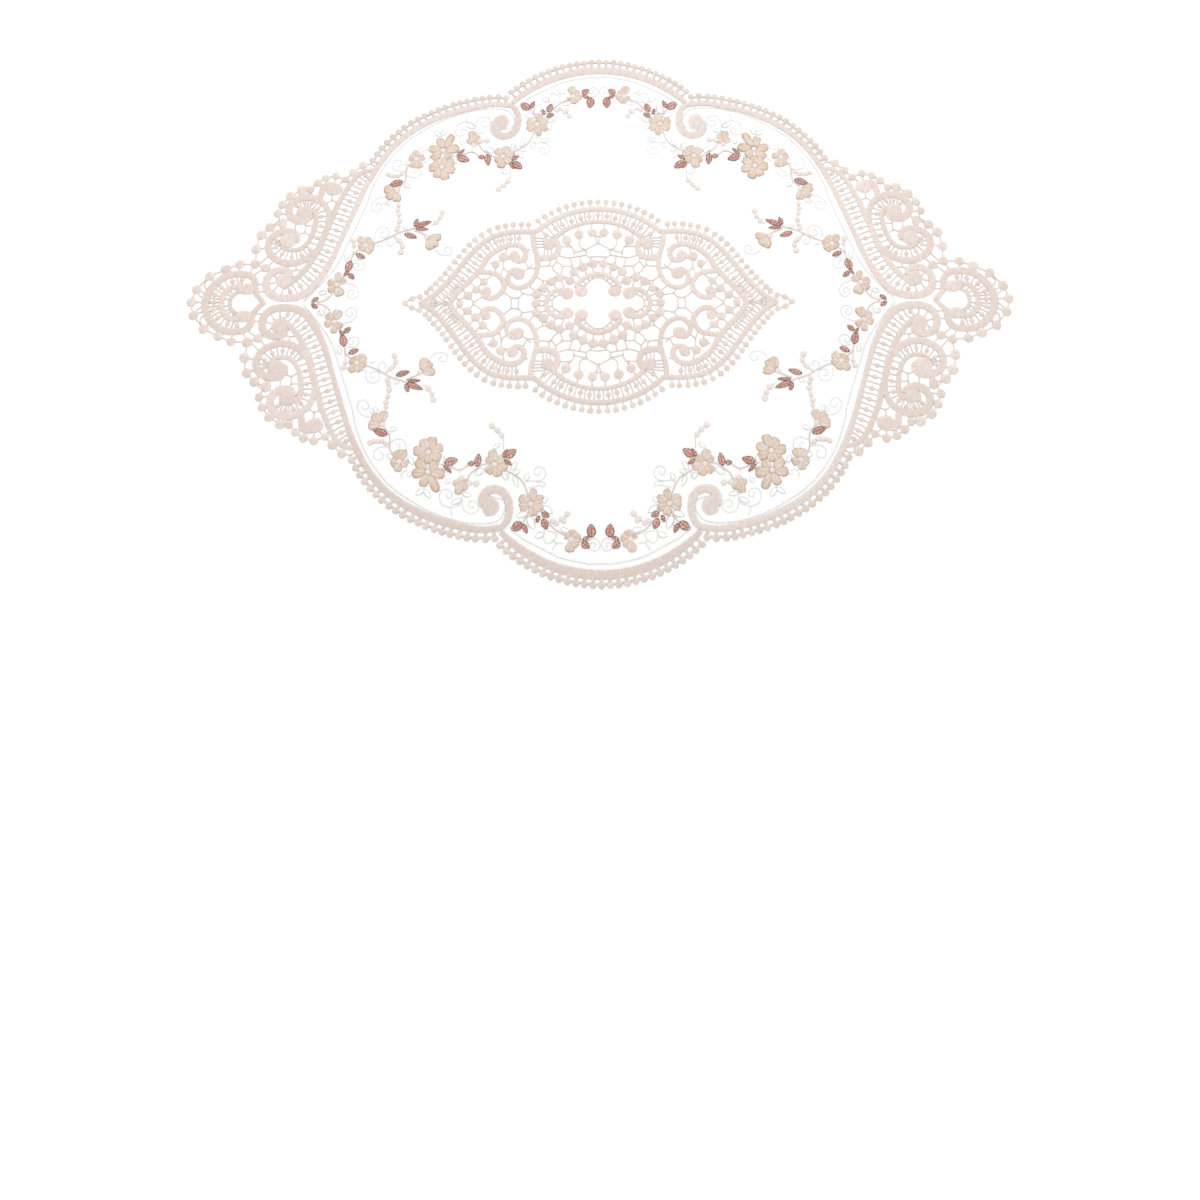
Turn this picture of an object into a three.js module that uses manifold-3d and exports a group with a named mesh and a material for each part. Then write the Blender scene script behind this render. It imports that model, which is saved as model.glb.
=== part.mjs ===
// Oblong lace placemat, lying flat: a sheer ground with a scalloped satin rim,
// two openwork lace ends and an openwork medallion let into its middle.
// Millimetres, +Z up, origin at the middle of the mat on the surface it lies on,
// +X along its length. The mat is the same in its four quarters, so each outline is
// given for the quarter where x and y are positive and mirrored into the others.

import * as THREE from 'three';
import { mergeVertices } from 'three/addons/utils/BufferGeometryUtils.js';
import Module from 'manifold-3d';

const wasm = await Module();
wasm.setup();

// Thickness of each cloth, and the clearance between two pieces
const GROUND_THICKNESS = 1.0;
const RIM_THICKNESS = 1.5;
const LACE_THICKNESS = 1.6;
const CLEARANCE = 0.3;
const CUTTER_DEPTH = LACE_THICKNESS * 3;

// The two long lobes of the rim, each an arc of one circle
const LOBE = { centreY: 72, radius: 71, bandHalfWidth: 2.1, endAngle: 45.5, arcSteps: 20 };
const LOBE_PICOTS = { radius: 75.7, ballRadius: 1.75, angleStep: 3.25, perSide: 13 };

// Middle of the band from a volute round the corner and down the inner side of a lace end
const EDGE_BAND = [
  { x: 52, y: 120.4 },
  { x: 60, y: 121.3 },
  { x: 72, y: 119.6 },
  { x: 86, y: 115.6 },
  { x: 100, y: 109.1 },
  { x: 110, y: 101.9 },
  { x: 118, y: 92.8 },
  { x: 124, y: 82.4 },
  { x: 130, y: 70 },
  { x: 136.3, y: 55 },
  { x: 141.8, y: 40 },
  { x: 147.2, y: 25 },
  { x: 153, y: 14 },
  { x: 159.5, y: 6 },
  { x: 166, y: 3.0 },
];
const EDGE_HALF_WIDTH = 1.9;
const RIM_SHARE = 0.545;
const END_SHARE = 0.5478;
const RIM_SHARES = shares(0, RIM_SHARE, 18);
const END_SHARES = shares(END_SHARE, 1, 18);
const CORNER_PICOTS = { offset: 4.35, ballRadius: 1.75, shares: shares(0.015, 0.505, 22) };

// The curl that ends each corner rim: a turn of band round a full bulb
const CURL_BAND = [
  { x: 53.5, y: 120.3 },
  { x: 48.8, y: 117.3 },
  { x: 46.4, y: 112.8 },
  { x: 46.3, y: 107.8 },
  { x: 48.0, y: 103.6 },
  { x: 51.2, y: 100.9 },
  { x: 55.2, y: 100.2 },
  { x: 59.0, y: 101.8 },
  { x: 60.8, y: 105.6 },
  { x: 60.0, y: 109.6 },
  { x: 57.4, y: 111.2 },
];
const CURL_HALF_WIDTH = 1.75;
const CURL_SHARES = shares(0, 1, 18);
const BULB = { x: 56.2, y: 109.2, halfLength: 4.9, halfHeight: 5.1 };

// Balls along the outside of a lace end, from its corner to its tip
const END_BALLS = [
  { x: 134, y: 82, radius: 2.6 },
  { x: 139.2, y: 77.3, radius: 2.6 },
  { x: 143.2, y: 73, radius: 2.3 },
  { x: 148.6, y: 74.7, radius: 2.4 },
  { x: 153.9, y: 74, radius: 2.4 },
  { x: 158.1, y: 71.2, radius: 2.4 },
  { x: 161.7, y: 66.9, radius: 2.2 },
  { x: 167.5, y: 66, radius: 3.0 },
  { x: 174, y: 62.6, radius: 2.8 },
  { x: 178, y: 57.5, radius: 2.6 },
  { x: 180, y: 52, radius: 2.5 },
  { x: 183, y: 44, radius: 2.9 },
  { x: 188, y: 39.3, radius: 2.9 },
  { x: 190, y: 30.5, radius: 3.0 },
  { x: 189.6, y: 22.4, radius: 2.8 },
  { x: 197.9, y: 22.2, radius: 2.7 },
  { x: 205.4, y: 19, radius: 2.9 },
  { x: 214, y: 15, radius: 2.9 },
  { x: 220.3, y: 7.6, radius: 2.8 },
  { x: 222.2, y: 0, radius: 2.8 },
];
const END_OVAL = { x: 192.6, halfLength: 7.5, halfHeight: 4.7 };

// The medallion's outer band: a middle lobe on one circle, then a long side to the point
const MEDALLION_LOBE = { centreY: 4.7, radius: 50.7, endAngle: 39.5, arcSteps: 10 };
const MEDALLION_SIDE = [
  { x: 38.5, y: 41.4 },
  { x: 46, y: 41.3 },
  { x: 55, y: 39.2 },
  { x: 65, y: 32.7 },
  { x: 75, y: 21.8 },
  { x: 84, y: 11.0 },
  { x: 92, y: 4.2 },
  { x: 100, y: -1.2 },
  { x: 108, y: -6 },
];
const MEDALLION_SIDE_SHARES = shares(0, 1, 24);
const MEDALLION_PICOTS = {
  offset: 4.5,
  ballRadius: 1.4,
  lobeAngleStep: 4.7,
  lobePerSide: 8,
  sideShares: shares(0, 1, 20),
};

// Largest gaps of the medallion: the cloud in its middle, and two in each quarter
const CLOUD_LOBES = [
  { x: 0, y: 0, halfLength: 6.6, halfHeight: 14.6 },
  { x: 13, y: 0, halfLength: 11.8, halfHeight: 5.4 },
  { x: -13, y: 0, halfLength: 11.8, halfHeight: 5.4 },
];
const CURL_GAP = { x: 56.6, y: 9.6, halfLength: 3.4, halfHeight: 4.6 };
const STEM_GAP = { x: 29.3, y: 17.7, halfLength: 3.3, halfHeight: 3.3 };
const ROUND_STEPS = 14;

// Turns from the outward direction at which a ball's outline has a point
const SCALLOP_TURNS = [75, 25, -25, -75];

// Points this near the X or Y axis are left out, so mirrored halves meet in one line
const AXIS_MARGIN = 0.4;
const LEAST_STEP = 0.05;
const QUARTERS = [[1, 1], [-1, 1], [-1, -1], [1, -1]];

const FINISHES = {
  sheer_white: { color: 0xf7f6f3, roughness: 0.75, metalness: 0 },
  satin_beige: { color: 0xdcc7ba, roughness: 0.5, metalness: 0 },
  lace_beige: { color: 0xdfcabd, roughness: 0.6, metalness: 0 },
};

const degrees = THREE.MathUtils.degToRad;

// A flat solid of one closed outline, standing on the surface
function slab(outline, thickness) {
  const shape = new THREE.Shape(outline);
  const geometry = new THREE.ExtrudeGeometry(shape, { depth: thickness, bevelEnabled: false });
  geometry.deleteAttribute('normal');
  geometry.deleteAttribute('uv');
  const merged = mergeVertices(geometry);
  const vertProperties = new Float32Array(merged.attributes.position.array);
  const triVerts = new Uint32Array(merged.index.array);
  return new wasm.Manifold(new wasm.Mesh({ numProp: 3, vertProperties, triVerts }));
}

// Points round an ellipse
function roundOutline({ x, y, halfLength, halfHeight }) {
  return Array.from({ length: ROUND_STEPS }, (_, step) => {
    const angle = (step / ROUND_STEPS) * Math.PI * 2;
    return new THREE.Vector2(x + halfLength * Math.cos(angle), y + halfHeight * Math.sin(angle));
  });
}

// Points on an arc about a centre on the Y axis, by angle from the Y axis
function arcPoint(centreY, radius, angle) {
  return new THREE.Vector2(radius * Math.sin(degrees(angle)), centreY + radius * Math.cos(degrees(angle)));
}

function arcPoints(centreY, radius, firstAngle, lastAngle, steps) {
  return Array.from({ length: steps + 1 }, (_, step) =>
    arcPoint(centreY, radius, firstAngle + ((lastAngle - firstAngle) * step) / steps));
}

// Even steps between two shares of a curve's length
function shares(first, last, count) {
  return Array.from({ length: count }, (_, step) => first + ((last - first) * step) / (count - 1));
}

// Points beside a curve, offset to its left, at the given shares of its length
function besideCurve(curve, offset, places) {
  return places.map((share) => {
    const tangent = curve.getTangentAt(share);
    return curve.getPointAt(share).add(new THREE.Vector2(-tangent.y, tangent.x).multiplyScalar(offset));
  });
}

function splineThrough(rows) {
  return new THREE.SplineCurve(rows.map(({ x, y }) => new THREE.Vector2(x, y)));
}

function mirrored(points, signX, signY) {
  return points.map((point) => new THREE.Vector2(point.x * signX, point.y * signY));
}

// A quarter outline, from the Y axis to the X axis, carried round all four quarters
function fourQuarters(quarter) {
  const upper = [...mirrored(quarter, -1, 1).reverse(), ...quarter];
  return [...upper, ...mirrored(upper, 1, -1).reverse()];
}

// A closed outline without points that fall on each other
function tidied(points) {
  const apart = (one, other) => one.distanceTo(other) > LEAST_STEP;
  const kept = points.filter((point, index) => index === 0 || apart(point, points[index - 1]));
  return apart(kept[0], kept[kept.length - 1]) ? kept : kept.slice(0, -1);
}

const edgeCurve = splineThrough(EDGE_BAND);
const curlCurve = splineThrough(CURL_BAND);
const medallionSideCurve = splineThrough(MEDALLION_SIDE);

// Outline over a row of balls that runs with its outer side on the left
function scallops(balls) {
  return balls.flatMap(({ x, y, radius }, index) => {
    const before = balls[Math.max(index - 1, 0)];
    const after = balls[Math.min(index + 1, balls.length - 1)];
    const outward = Math.atan2(after.y - before.y, after.x - before.x) + Math.PI / 2;
    return SCALLOP_TURNS.map((turn) => {
      const angle = outward + degrees(turn);
      return new THREE.Vector2(x + radius * Math.cos(angle), y + radius * Math.sin(angle));
    });
  });
}

function withRadius(points, radius) {
  return points.map(({ x, y }) => ({ x, y, radius }));
}

// Curl of a corner rim and the bulb at its heart, wider all round by grow
function curl(thickness, grow) {
  const half = CURL_HALF_WIDTH + grow;
  const left = besideCurve(curlCurve, half, CURL_SHARES);
  const right = besideCurve(curlCurve, -half, CURL_SHARES);
  const bulb = { ...BULB, halfLength: BULB.halfLength + grow, halfHeight: BULB.halfHeight + grow };
  return wasm.Manifold.union([
    slab([...left, ...right.reverse()], thickness),
    slab(roundOutline(bulb), thickness),
  ]);
}

// Corner rim: its band with a row of picots along the outside, and its curl
function cornerRim() {
  const inner = besideCurve(edgeCurve, -EDGE_HALF_WIDTH, RIM_SHARES);
  const ends = besideCurve(edgeCurve, EDGE_HALF_WIDTH, [0, RIM_SHARE]);
  const centres = besideCurve(edgeCurve, CORNER_PICOTS.offset, CORNER_PICOTS.shares);
  const picots = withRadius(centres, CORNER_PICOTS.ballRadius);
  const outline = [ends[0], ...scallops(picots), ends[1], ...inner.reverse()];
  return wasm.Manifold.union([slab(outline, RIM_THICKNESS), curl(RIM_THICKNESS, 0)]);
}

// The space that a corner rim takes, with the clearance round it
function cornerSpace() {
  const half = EDGE_HALF_WIDTH + CLEARANCE;
  const outer = besideCurve(edgeCurve, half, RIM_SHARES);
  const inner = besideCurve(edgeCurve, -half, RIM_SHARES);
  const [firstPicot] = besideCurve(edgeCurve, CORNER_PICOTS.offset, CORNER_PICOTS.shares);
  const round = CORNER_PICOTS.ballRadius + CLEARANCE;
  return wasm.Manifold.union([
    through([...outer, ...inner.reverse()]),
    through(roundOutline({ x: firstPicot.x, y: firstPicot.y, halfLength: round, halfHeight: round })),
    curl(CUTTER_DEPTH, CLEARANCE).translate([0, 0, -LACE_THICKNESS]),
  ]);
}

// Long lobe of the rim on the far side, kept clear of the two corner rims
function lobeRim(space) {
  const { centreY, radius, bandHalfWidth, endAngle, arcSteps } = LOBE;
  const { perSide, angleStep, ballRadius } = LOBE_PICOTS;
  const span = perSide * angleStep;
  const centres = arcPoints(centreY, LOBE_PICOTS.radius, -span, span, perSide * 2);
  const inner = arcPoints(centreY, radius - bandHalfWidth, endAngle, -endAngle, arcSteps);
  const whole = slab([...scallops(withRadius(centres, ballRadius)), ...inner], RIM_THICKNESS);
  return [1, -1].reduce((rest, signX) => rest.subtract(mirroredSolid(space, signX, 1)), whole);
}

// Right-hand lace end, from its two corners to its tip
function laceEnd() {
  const inner = besideCurve(edgeCurve, -EDGE_HALF_WIDTH, END_SHARES).filter(({ y }) => y > AXIS_MARGIN);
  const [corner] = besideCurve(edgeCurve, EDGE_HALF_WIDTH, END_SHARES);
  const tip = END_BALLS[END_BALLS.length - 1];
  const upper = [
    new THREE.Vector2(inner[inner.length - 1].x + CLEARANCE * 3, 0),
    ...inner.reverse(),
    corner,
    ...scallops(END_BALLS).filter(({ y }) => y > AXIS_MARGIN),
    new THREE.Vector2(tip.x + tip.radius, 0),
  ];
  const outline = tidied([...upper, ...mirrored(upper, 1, -1).reverse()]);
  return slab(outline, LACE_THICKNESS).subtract(through(roundOutline({ ...END_OVAL, y: 0 })));
}

// Picot centres of one quarter of the medallion, from the middle of its lobe to its point
function medallionPicots() {
  const { offset, ballRadius, lobeAngleStep, lobePerSide, sideShares } = MEDALLION_PICOTS;
  const { centreY, radius } = MEDALLION_LOBE;
  const lobe = arcPoints(centreY, radius + offset, 0, lobeAngleStep * lobePerSide, lobePerSide);
  const side = besideCurve(medallionSideCurve, offset, sideShares).filter(({ y }) => y > 0);
  return withRadius([...lobe, ...side], ballRadius);
}

function medallion() {
  const picots = medallionPicots();
  const last = picots[picots.length - 1];
  const edge = scallops(picots).filter(({ x, y }) => x > AXIS_MARGIN && y > AXIS_MARGIN);
  const outline = fourQuarters([...edge, new THREE.Vector2(last.x + last.radius, 0)]);
  const gaps = CLOUD_LOBES.map(roundOutline);
  for (const gap of [CURL_GAP, STEM_GAP]) {
    for (const [signX, signY] of QUARTERS) {
      gaps.push(roundOutline({ ...gap, x: gap.x * signX, y: gap.y * signY }));
    }
  }
  return slab(tidied(outline), LACE_THICKNESS).subtract(wasm.Manifold.union(gaps.map(through)));
}

// Sheer ground: everything inside the rims and lace ends, with the medallion's opening
function sheerGround(space) {
  const { centreY, radius, bandHalfWidth, endAngle, arcSteps } = LOBE;
  const lobe = arcPoints(centreY, radius - bandHalfWidth - CLEARANCE, 0, endAngle, arcSteps / 2);
  const edge = besideCurve(edgeCurve, -EDGE_HALF_WIDTH - CLEARANCE, [...RIM_SHARES.slice(1), ...END_SHARES])
    .filter(({ y }) => y > AXIS_MARGIN);
  const notch = new THREE.Vector2(edge[edge.length - 1].x + CLEARANCE, 0);
  const outline = fourQuarters([...lobe, ...edge, notch]);
  const margin = MEDALLION_PICOTS.offset + MEDALLION_PICOTS.ballRadius + CLEARANCE;
  const middle = MEDALLION_LOBE;
  const openingLobe = arcPoints(middle.centreY, middle.radius + margin, 0, middle.endAngle, middle.arcSteps);
  const openingSide = besideCurve(medallionSideCurve, margin, MEDALLION_SIDE_SHARES)
    .filter(({ y }) => y > AXIS_MARGIN);
  const tip = new THREE.Vector2(openingSide[openingSide.length - 1].x + CLEARANCE, 0);
  const opening = fourQuarters([...openingLobe, ...openingSide, tip]);
  return QUARTERS.reduce((rest, [signX, signY]) => rest.subtract(mirroredSolid(space, signX, signY)),
    slab(tidied(outline), GROUND_THICKNESS)).subtract(through(tidied(opening)));
}

// A cutter that runs past both faces of the mat
function through(outline) {
  return slab(outline, CUTTER_DEPTH).translate([0, 0, -LACE_THICKNESS]);
}

// The same solid on the other side of the mat
function mirroredSolid(solid, signX, signY) {
  const acrossX = signX < 0 ? solid.mirror([1, 0, 0]) : solid;
  return signY < 0 ? acrossX.mirror([0, 1, 0]) : acrossX;
}

function meshOf(name, solid, finish) {
  const { vertProperties, triVerts } = solid.getMesh();
  const geometry = new THREE.BufferGeometry();
  geometry.setAttribute('position', new THREE.BufferAttribute(new Float32Array(vertProperties), 3));
  geometry.setIndex(new THREE.BufferAttribute(new Uint32Array(triVerts), 1));
  geometry.computeVertexNormals();
  const mesh = new THREE.Mesh(geometry, new THREE.MeshStandardMaterial(FINISHES[finish]));
  mesh.name = name;
  return mesh;
}

function buildPlacemat() {
  const placemat = new THREE.Group();
  const space = cornerSpace();
  const corner = cornerRim();
  const lobe = lobeRim(space);
  const end = laceEnd();
  placemat.add(meshOf('sheer_ground', sheerGround(space), 'sheer_white'));
  placemat.add(meshOf('medallion', medallion(), 'lace_beige'));
  for (const [sideY, signY] of [['far', 1], ['near', -1]]) {
    placemat.add(meshOf(`rim_lobe_${sideY}`, mirroredSolid(lobe, 1, signY), 'satin_beige'));
    for (const [sideX, signX] of [['right', 1], ['left', -1]]) {
      const rim = mirroredSolid(corner, signX, signY);
      placemat.add(meshOf(`rim_corner_${sideY}_${sideX}`, rim, 'satin_beige'));
    }
  }
  for (const [sideX, signX] of [['right', 1], ['left', -1]]) {
    placemat.add(meshOf(`lace_end_${sideX}`, mirroredSolid(end, signX, 1), 'lace_beige'));
  }
  return placemat;
}

export default buildPlacemat();
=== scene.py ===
import math

import bpy
import numpy as np
from bpy.props import FloatProperty, FloatVectorProperty, PointerProperty
from bpy.types import Operator, Panel, PropertyGroup
from mathutils import Matrix, Vector


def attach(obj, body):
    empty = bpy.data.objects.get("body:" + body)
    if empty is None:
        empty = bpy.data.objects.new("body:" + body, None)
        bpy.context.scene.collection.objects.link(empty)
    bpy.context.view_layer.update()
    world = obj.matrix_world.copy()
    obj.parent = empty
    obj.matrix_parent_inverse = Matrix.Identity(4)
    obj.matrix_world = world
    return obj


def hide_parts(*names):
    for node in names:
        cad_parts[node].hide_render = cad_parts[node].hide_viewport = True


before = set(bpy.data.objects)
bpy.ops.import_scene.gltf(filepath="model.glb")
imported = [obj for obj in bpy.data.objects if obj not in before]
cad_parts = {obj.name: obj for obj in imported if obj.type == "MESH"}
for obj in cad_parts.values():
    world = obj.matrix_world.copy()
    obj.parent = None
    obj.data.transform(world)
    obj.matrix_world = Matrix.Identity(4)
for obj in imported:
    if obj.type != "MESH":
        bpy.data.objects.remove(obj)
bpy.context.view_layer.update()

# An oblong lace placemat that lies flat. A sheer ground has a scalloped satin rim, two
# openwork lace ends and an openwork medallion let into its middle, and a garland of
# flowers, leaves and tendrils stitched on it. Designs are in millimetres, given for the
# quarter where x and y are positive and mirrored into the others.

bl_info = {
    "name": "Lace placemat",
    "version": (1, 0, 0),
    "blender": (4, 5, 0),
    "location": "3D View > Sidebar > Placemat",
    "description": "Builds an oblong lace placemat with an embroidered sheer ground",
    "category": "Add Mesh",
}

MM = 0.001
UV_STITCH = "stitch"
# Height share of each point of the bands, threads and dots, which the thread materials turn into painted
# shade or painted light on their low parts; on petals and leaves it is a colour ramp along or across
# them
CREST = "crest"
SHADE = "shade"
ON_AXIS = 0.01

ALL_QUARTERS = ((1, 1), (-1, 1), (1, -1), (-1, -1))
RIGHT_QUARTERS = ((1, 1), (1, -1))
LEFT_QUARTERS = ((-1, 1), (-1, -1))

# Heights above the table, in millimetres
LOW = 0.05
CLOTH_LEVEL = 0.24
NET_LEVEL = 0.34
STITCH_LOW = 0.2
STITCH_LEVEL = 0.32

# How often a smooth curve is worked out between two given points, and how far apart the points
# of a line and of a short stitch then are, in millimetres
CURVE_SAMPLES = 12
LINE_STEP = 0.5
STITCH_STEP = 0.6

# A ladder's bars, as a share of the net threads' thickness
BAR_SHARE = 1.05
# How far discs, picots and curls stand above the bands, and how far crossing bands lie below
DISC_RISE = 0.1
PICOT_RISE = 0.08
CURL_RISE = 0.04
EDGE_DROP = 0.02
CROSSING_DROP = 0.03

# Size of a ball as a share of its radius, and how far it is turned, in radians: both at random
BALL_SIZES = (0.95, 1.04)
BALL_TURN = 3
# How wide balls and beads are, as a share of how long they are
END_BALL_ROUNDNESS = 0.96
MEDALLION_BALL_ROUNDNESS = 0.95
BEAD_ROUNDNESS = 0.92

# Grid that each half of the ground is shaped from, and its half length in millimetres
GROUND_COLUMNS = 166
GROUND_ROWS = 26
GROUND_HALF_LENGTH = 166
GROUND_MERGE = 0.02

# The stage, in metres and degrees
FLOOR_SIZE = 8
FLOOR_WHITE = 0.86
WORLD_STRENGTH = 1.08
FAR_LIGHT_PLACE = (0.05, 0.55, 0.6)
FAR_LIGHT_SIZE = 0.7
FAR_LIGHT_POWER = 3.1
CAMERA_PLACE = (0, -0.1450, 0.4845)
CAMERA_TILT = 16.66
CAMERA_ROLL = -0.27
CAMERA_LENS = 27.9
CAMERA_SENSOR = 36
CAMERA_SHIFT = (0.0006, -0.2493)

# The two long lobes of the rim, each an arc of one circle
LOBE_CENTRE_Y = 72
LOBE_RADIUS = 70.3
NEAR_LOBE_RADIUS = 70.9
LOBE_END_ANGLE = 45.5
LOBE_WIDTHS = (1.35, 2.05, 2.3, 2.35, 2.35, 2.3, 2.05, 1.35)
LOBE_PICOT_RADIUS = 76.15
LOBE_PICOT_STEP = 3.25
LOBE_PICOTS_A_SIDE = 13

# Middle of the band from a curl round the corner and down the inner side of a lace end
EDGE_BAND = (
    (52, 119.6), (60, 120.5), (71.7, 118.8), (85.7, 114.8), (99.5, 108.4), (109.6, 101.4),
    (118.0, 92.8), (124.6, 82.8), (130.8, 70.3), (136.5, 55.1), (141.8, 40), (147.2, 25),
    (153, 14), (159.5, 6), (166, 3.0),
)
# The rim's corner ends at this share of the band, and the lace end's stretch starts a little before
RIM_SHARE = 0.5465
RIM_OVERLAP = 0.012
CORNER_WIDTHS = (1.5, 1.75, 1.75, 1.7, 1.5)
END_EDGE_WIDTHS = (1.5, 1.35, 1.35, 1.5, 2.0, 2.1, 2.05, 2.0)
CORNER_PICOT_OFFSET = 4.95
CORNER_PICOTS = 21
CORNER_PICOT_SHARES = (0.015, 0.482)

# The rim's picots: the balls, the bars that tie them and the links between them
PICOT_RADIUS = 1.85
PICOT_WANDER = 0.1
PICOT_BAR = 0.75
PICOT_LINK = 0.65
PICOT_LINK_INSET = 0.7
PICOT_LEVEL = 0.32
PICOT_THREAD = {"step": 1.2, "flatness": 0.35}

# The curl that ends each corner rim, and the discs of its bulb
CURL_BAND = (
    (53.0, 120.6), (48.8, 118.0), (46.7, 113.5), (46.5, 108.5), (47.8, 104.0),
    (50.8, 101.0), (54.8, 100.2), (58.4, 101.6), (60.2, 105.0), (59.4, 108.6),
)
CURL_WIDTHS = (1.3, 1.7, 1.95, 2.05, 2.1, 2.2, 2.2)
CURL_DISCS = ((56.1, 109.1, 4.6, 4.9), (58.9, 106.6, 3.2, 3.7))

# A lace end. The edge band runs on round the small scroll by the axis
SMALL_SCROLL = (
    (166, 3.0), (171, 2.7), (176, 3.3), (180.2, 5.8), (182.2, 10.2), (181.6, 14.8),
    (178.6, 17.9), (174.2, 18.9), (170.4, 17.6), (169.2, 14.4),
)
END_BANDS = (
    # line, half widths
    (((127.6, 79.0), (131.2, 78.5), (134.6, 77.2), (137.4, 74.7), (139.8, 71.3), (141.8, 67.7),
      (143.7, 63.8), (145.8, 59.4), (147.4, 55.2), (148.8, 50.6), (150.6, 45.6), (152, 41),
      (153.4, 36.4), (155, 31.6), (157, 27.6), (159, 23.2), (161.7, 18.9), (165.1, 14.9), (169.1, 11.1),
      (172.4, 8.8)), (1.2, 1.3, 1.4, 1.5, 1.7, 1.8, 1.9, 1.6, 1.5, 1.4)),
    (((151.2, 46.0), (151.0, 50.2), (151.9, 54.4), (154.4, 58.2), (158.6, 61.0), (163.4, 62.3),
      (168.2, 61.6), (172.0, 59.0), (173.9, 55.0), (172.9, 51.2), (169.8, 48.7), (166.0, 48.0),
      (162.8, 49.4), (161.6, 51.8)), (1.2, 1.4, 1.7, 1.9, 2.1, 2.2, 2.1, 2.1, 2.3, 2.4, 2.3)),
    (((150.5, 69.8), (154.2, 69.4), (156.0, 66.4), (156.5, 63.2), (157.6, 60.4)), (1.6, 1.9, 1.8, 1.6)),
    (((160.8, 54.8), (158.6, 52.2), (158.0, 48.6), (158.3, 44.6), (159.1, 40.6), (160.5, 36.8),
      (162.6, 33.4), (165.6, 31.2), (169.6, 30.5), (173.6, 31.2), (176.2, 33.6)),
     (1.4, 1.4, 1.4, 1.3, 1.3, 1.2, 1.1, 1.0)),
    (((157.6, 28.6), (161.6, 25.4), (166.4, 23.3), (171.6, 22.8), (176.8, 24.3), (181.0, 27.4),
      (183.2, 31.8), (182.8, 36.4), (179.6, 39.9), (174.8, 41.5), (170.4, 40.9), (167.9, 38.4),
      (168.6, 35.2)), (1.9, 1.9, 1.9, 1.9, 2.0, 2.1, 2.2)),
    (((187.6, 5.4), (188.0, 9.4), (189.0, 13.2), (191.8, 15.6), (196.4, 16.4), (201.0, 16.2),
      (205.4, 14.6), (210.0, 10.8), (213.4, 5.6), (214.6, 0)), (1.6, 1.8, 1.9, 1.9, 2.0, 2.1, 2.1)),
    (((191.5, 8.4), (196.6, 9.3), (201.2, 8.6), (204.0, 6.0), (205.3, 3.0), (205.6, 0)), (1.4, 1.5)),
    (((196.8, 6.0), (199.4, 4.4), (200.8, 2.2), (201.0, 0)), (0.9, 1.0)),
    (((188.0, 5.8), (185.2, 2.8), (183.2, 0.6), (182.2, 0)), (1.3, 1.4)),
)
# Full discs of a lace end: x, y, half length, half height
END_DISCS = (
    (149.4, 67.2, 4.9, 4.1),
    (164.8, 53.0, 4.9, 3.9),
    (172.4, 36.4, 5.0, 4.6),
    (172.6, 12.8, 4.6, 4.5),
    (176.6, 46.4, 2.5, 3.3),
    (157.3, 28.7, 2.9, 2.9),
    (192.8, 7.7, 5.3, 3.4),
    (183.5, 20.0, 2.8, 2.5),
)
# Balls along the outside of a lace end, from its corner to its tip
END_BALLS = (
    (134, 82, 2.6), (139.2, 77.4, 2.6), (143.4, 73, 2.3), (149, 75.3, 2.4), (154.6, 74, 2.4),
    (159, 70.8, 2.4), (162.8, 66.8, 2.3), (167.5, 66.6, 3.0), (173.7, 62.8, 2.8), (177.8, 57.6, 2.6),
    (180, 52.2, 2.5), (183.4, 44, 2.9), (187.8, 39.2, 2.9), (189.9, 30.9, 3.0), (189.4, 22.3, 2.8),
    (198, 22, 2.7), (205.3, 19, 2.9), (213.8, 15, 2.9), (220.2, 7.5, 2.85), (222.2, 0, 2.8),
)
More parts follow.
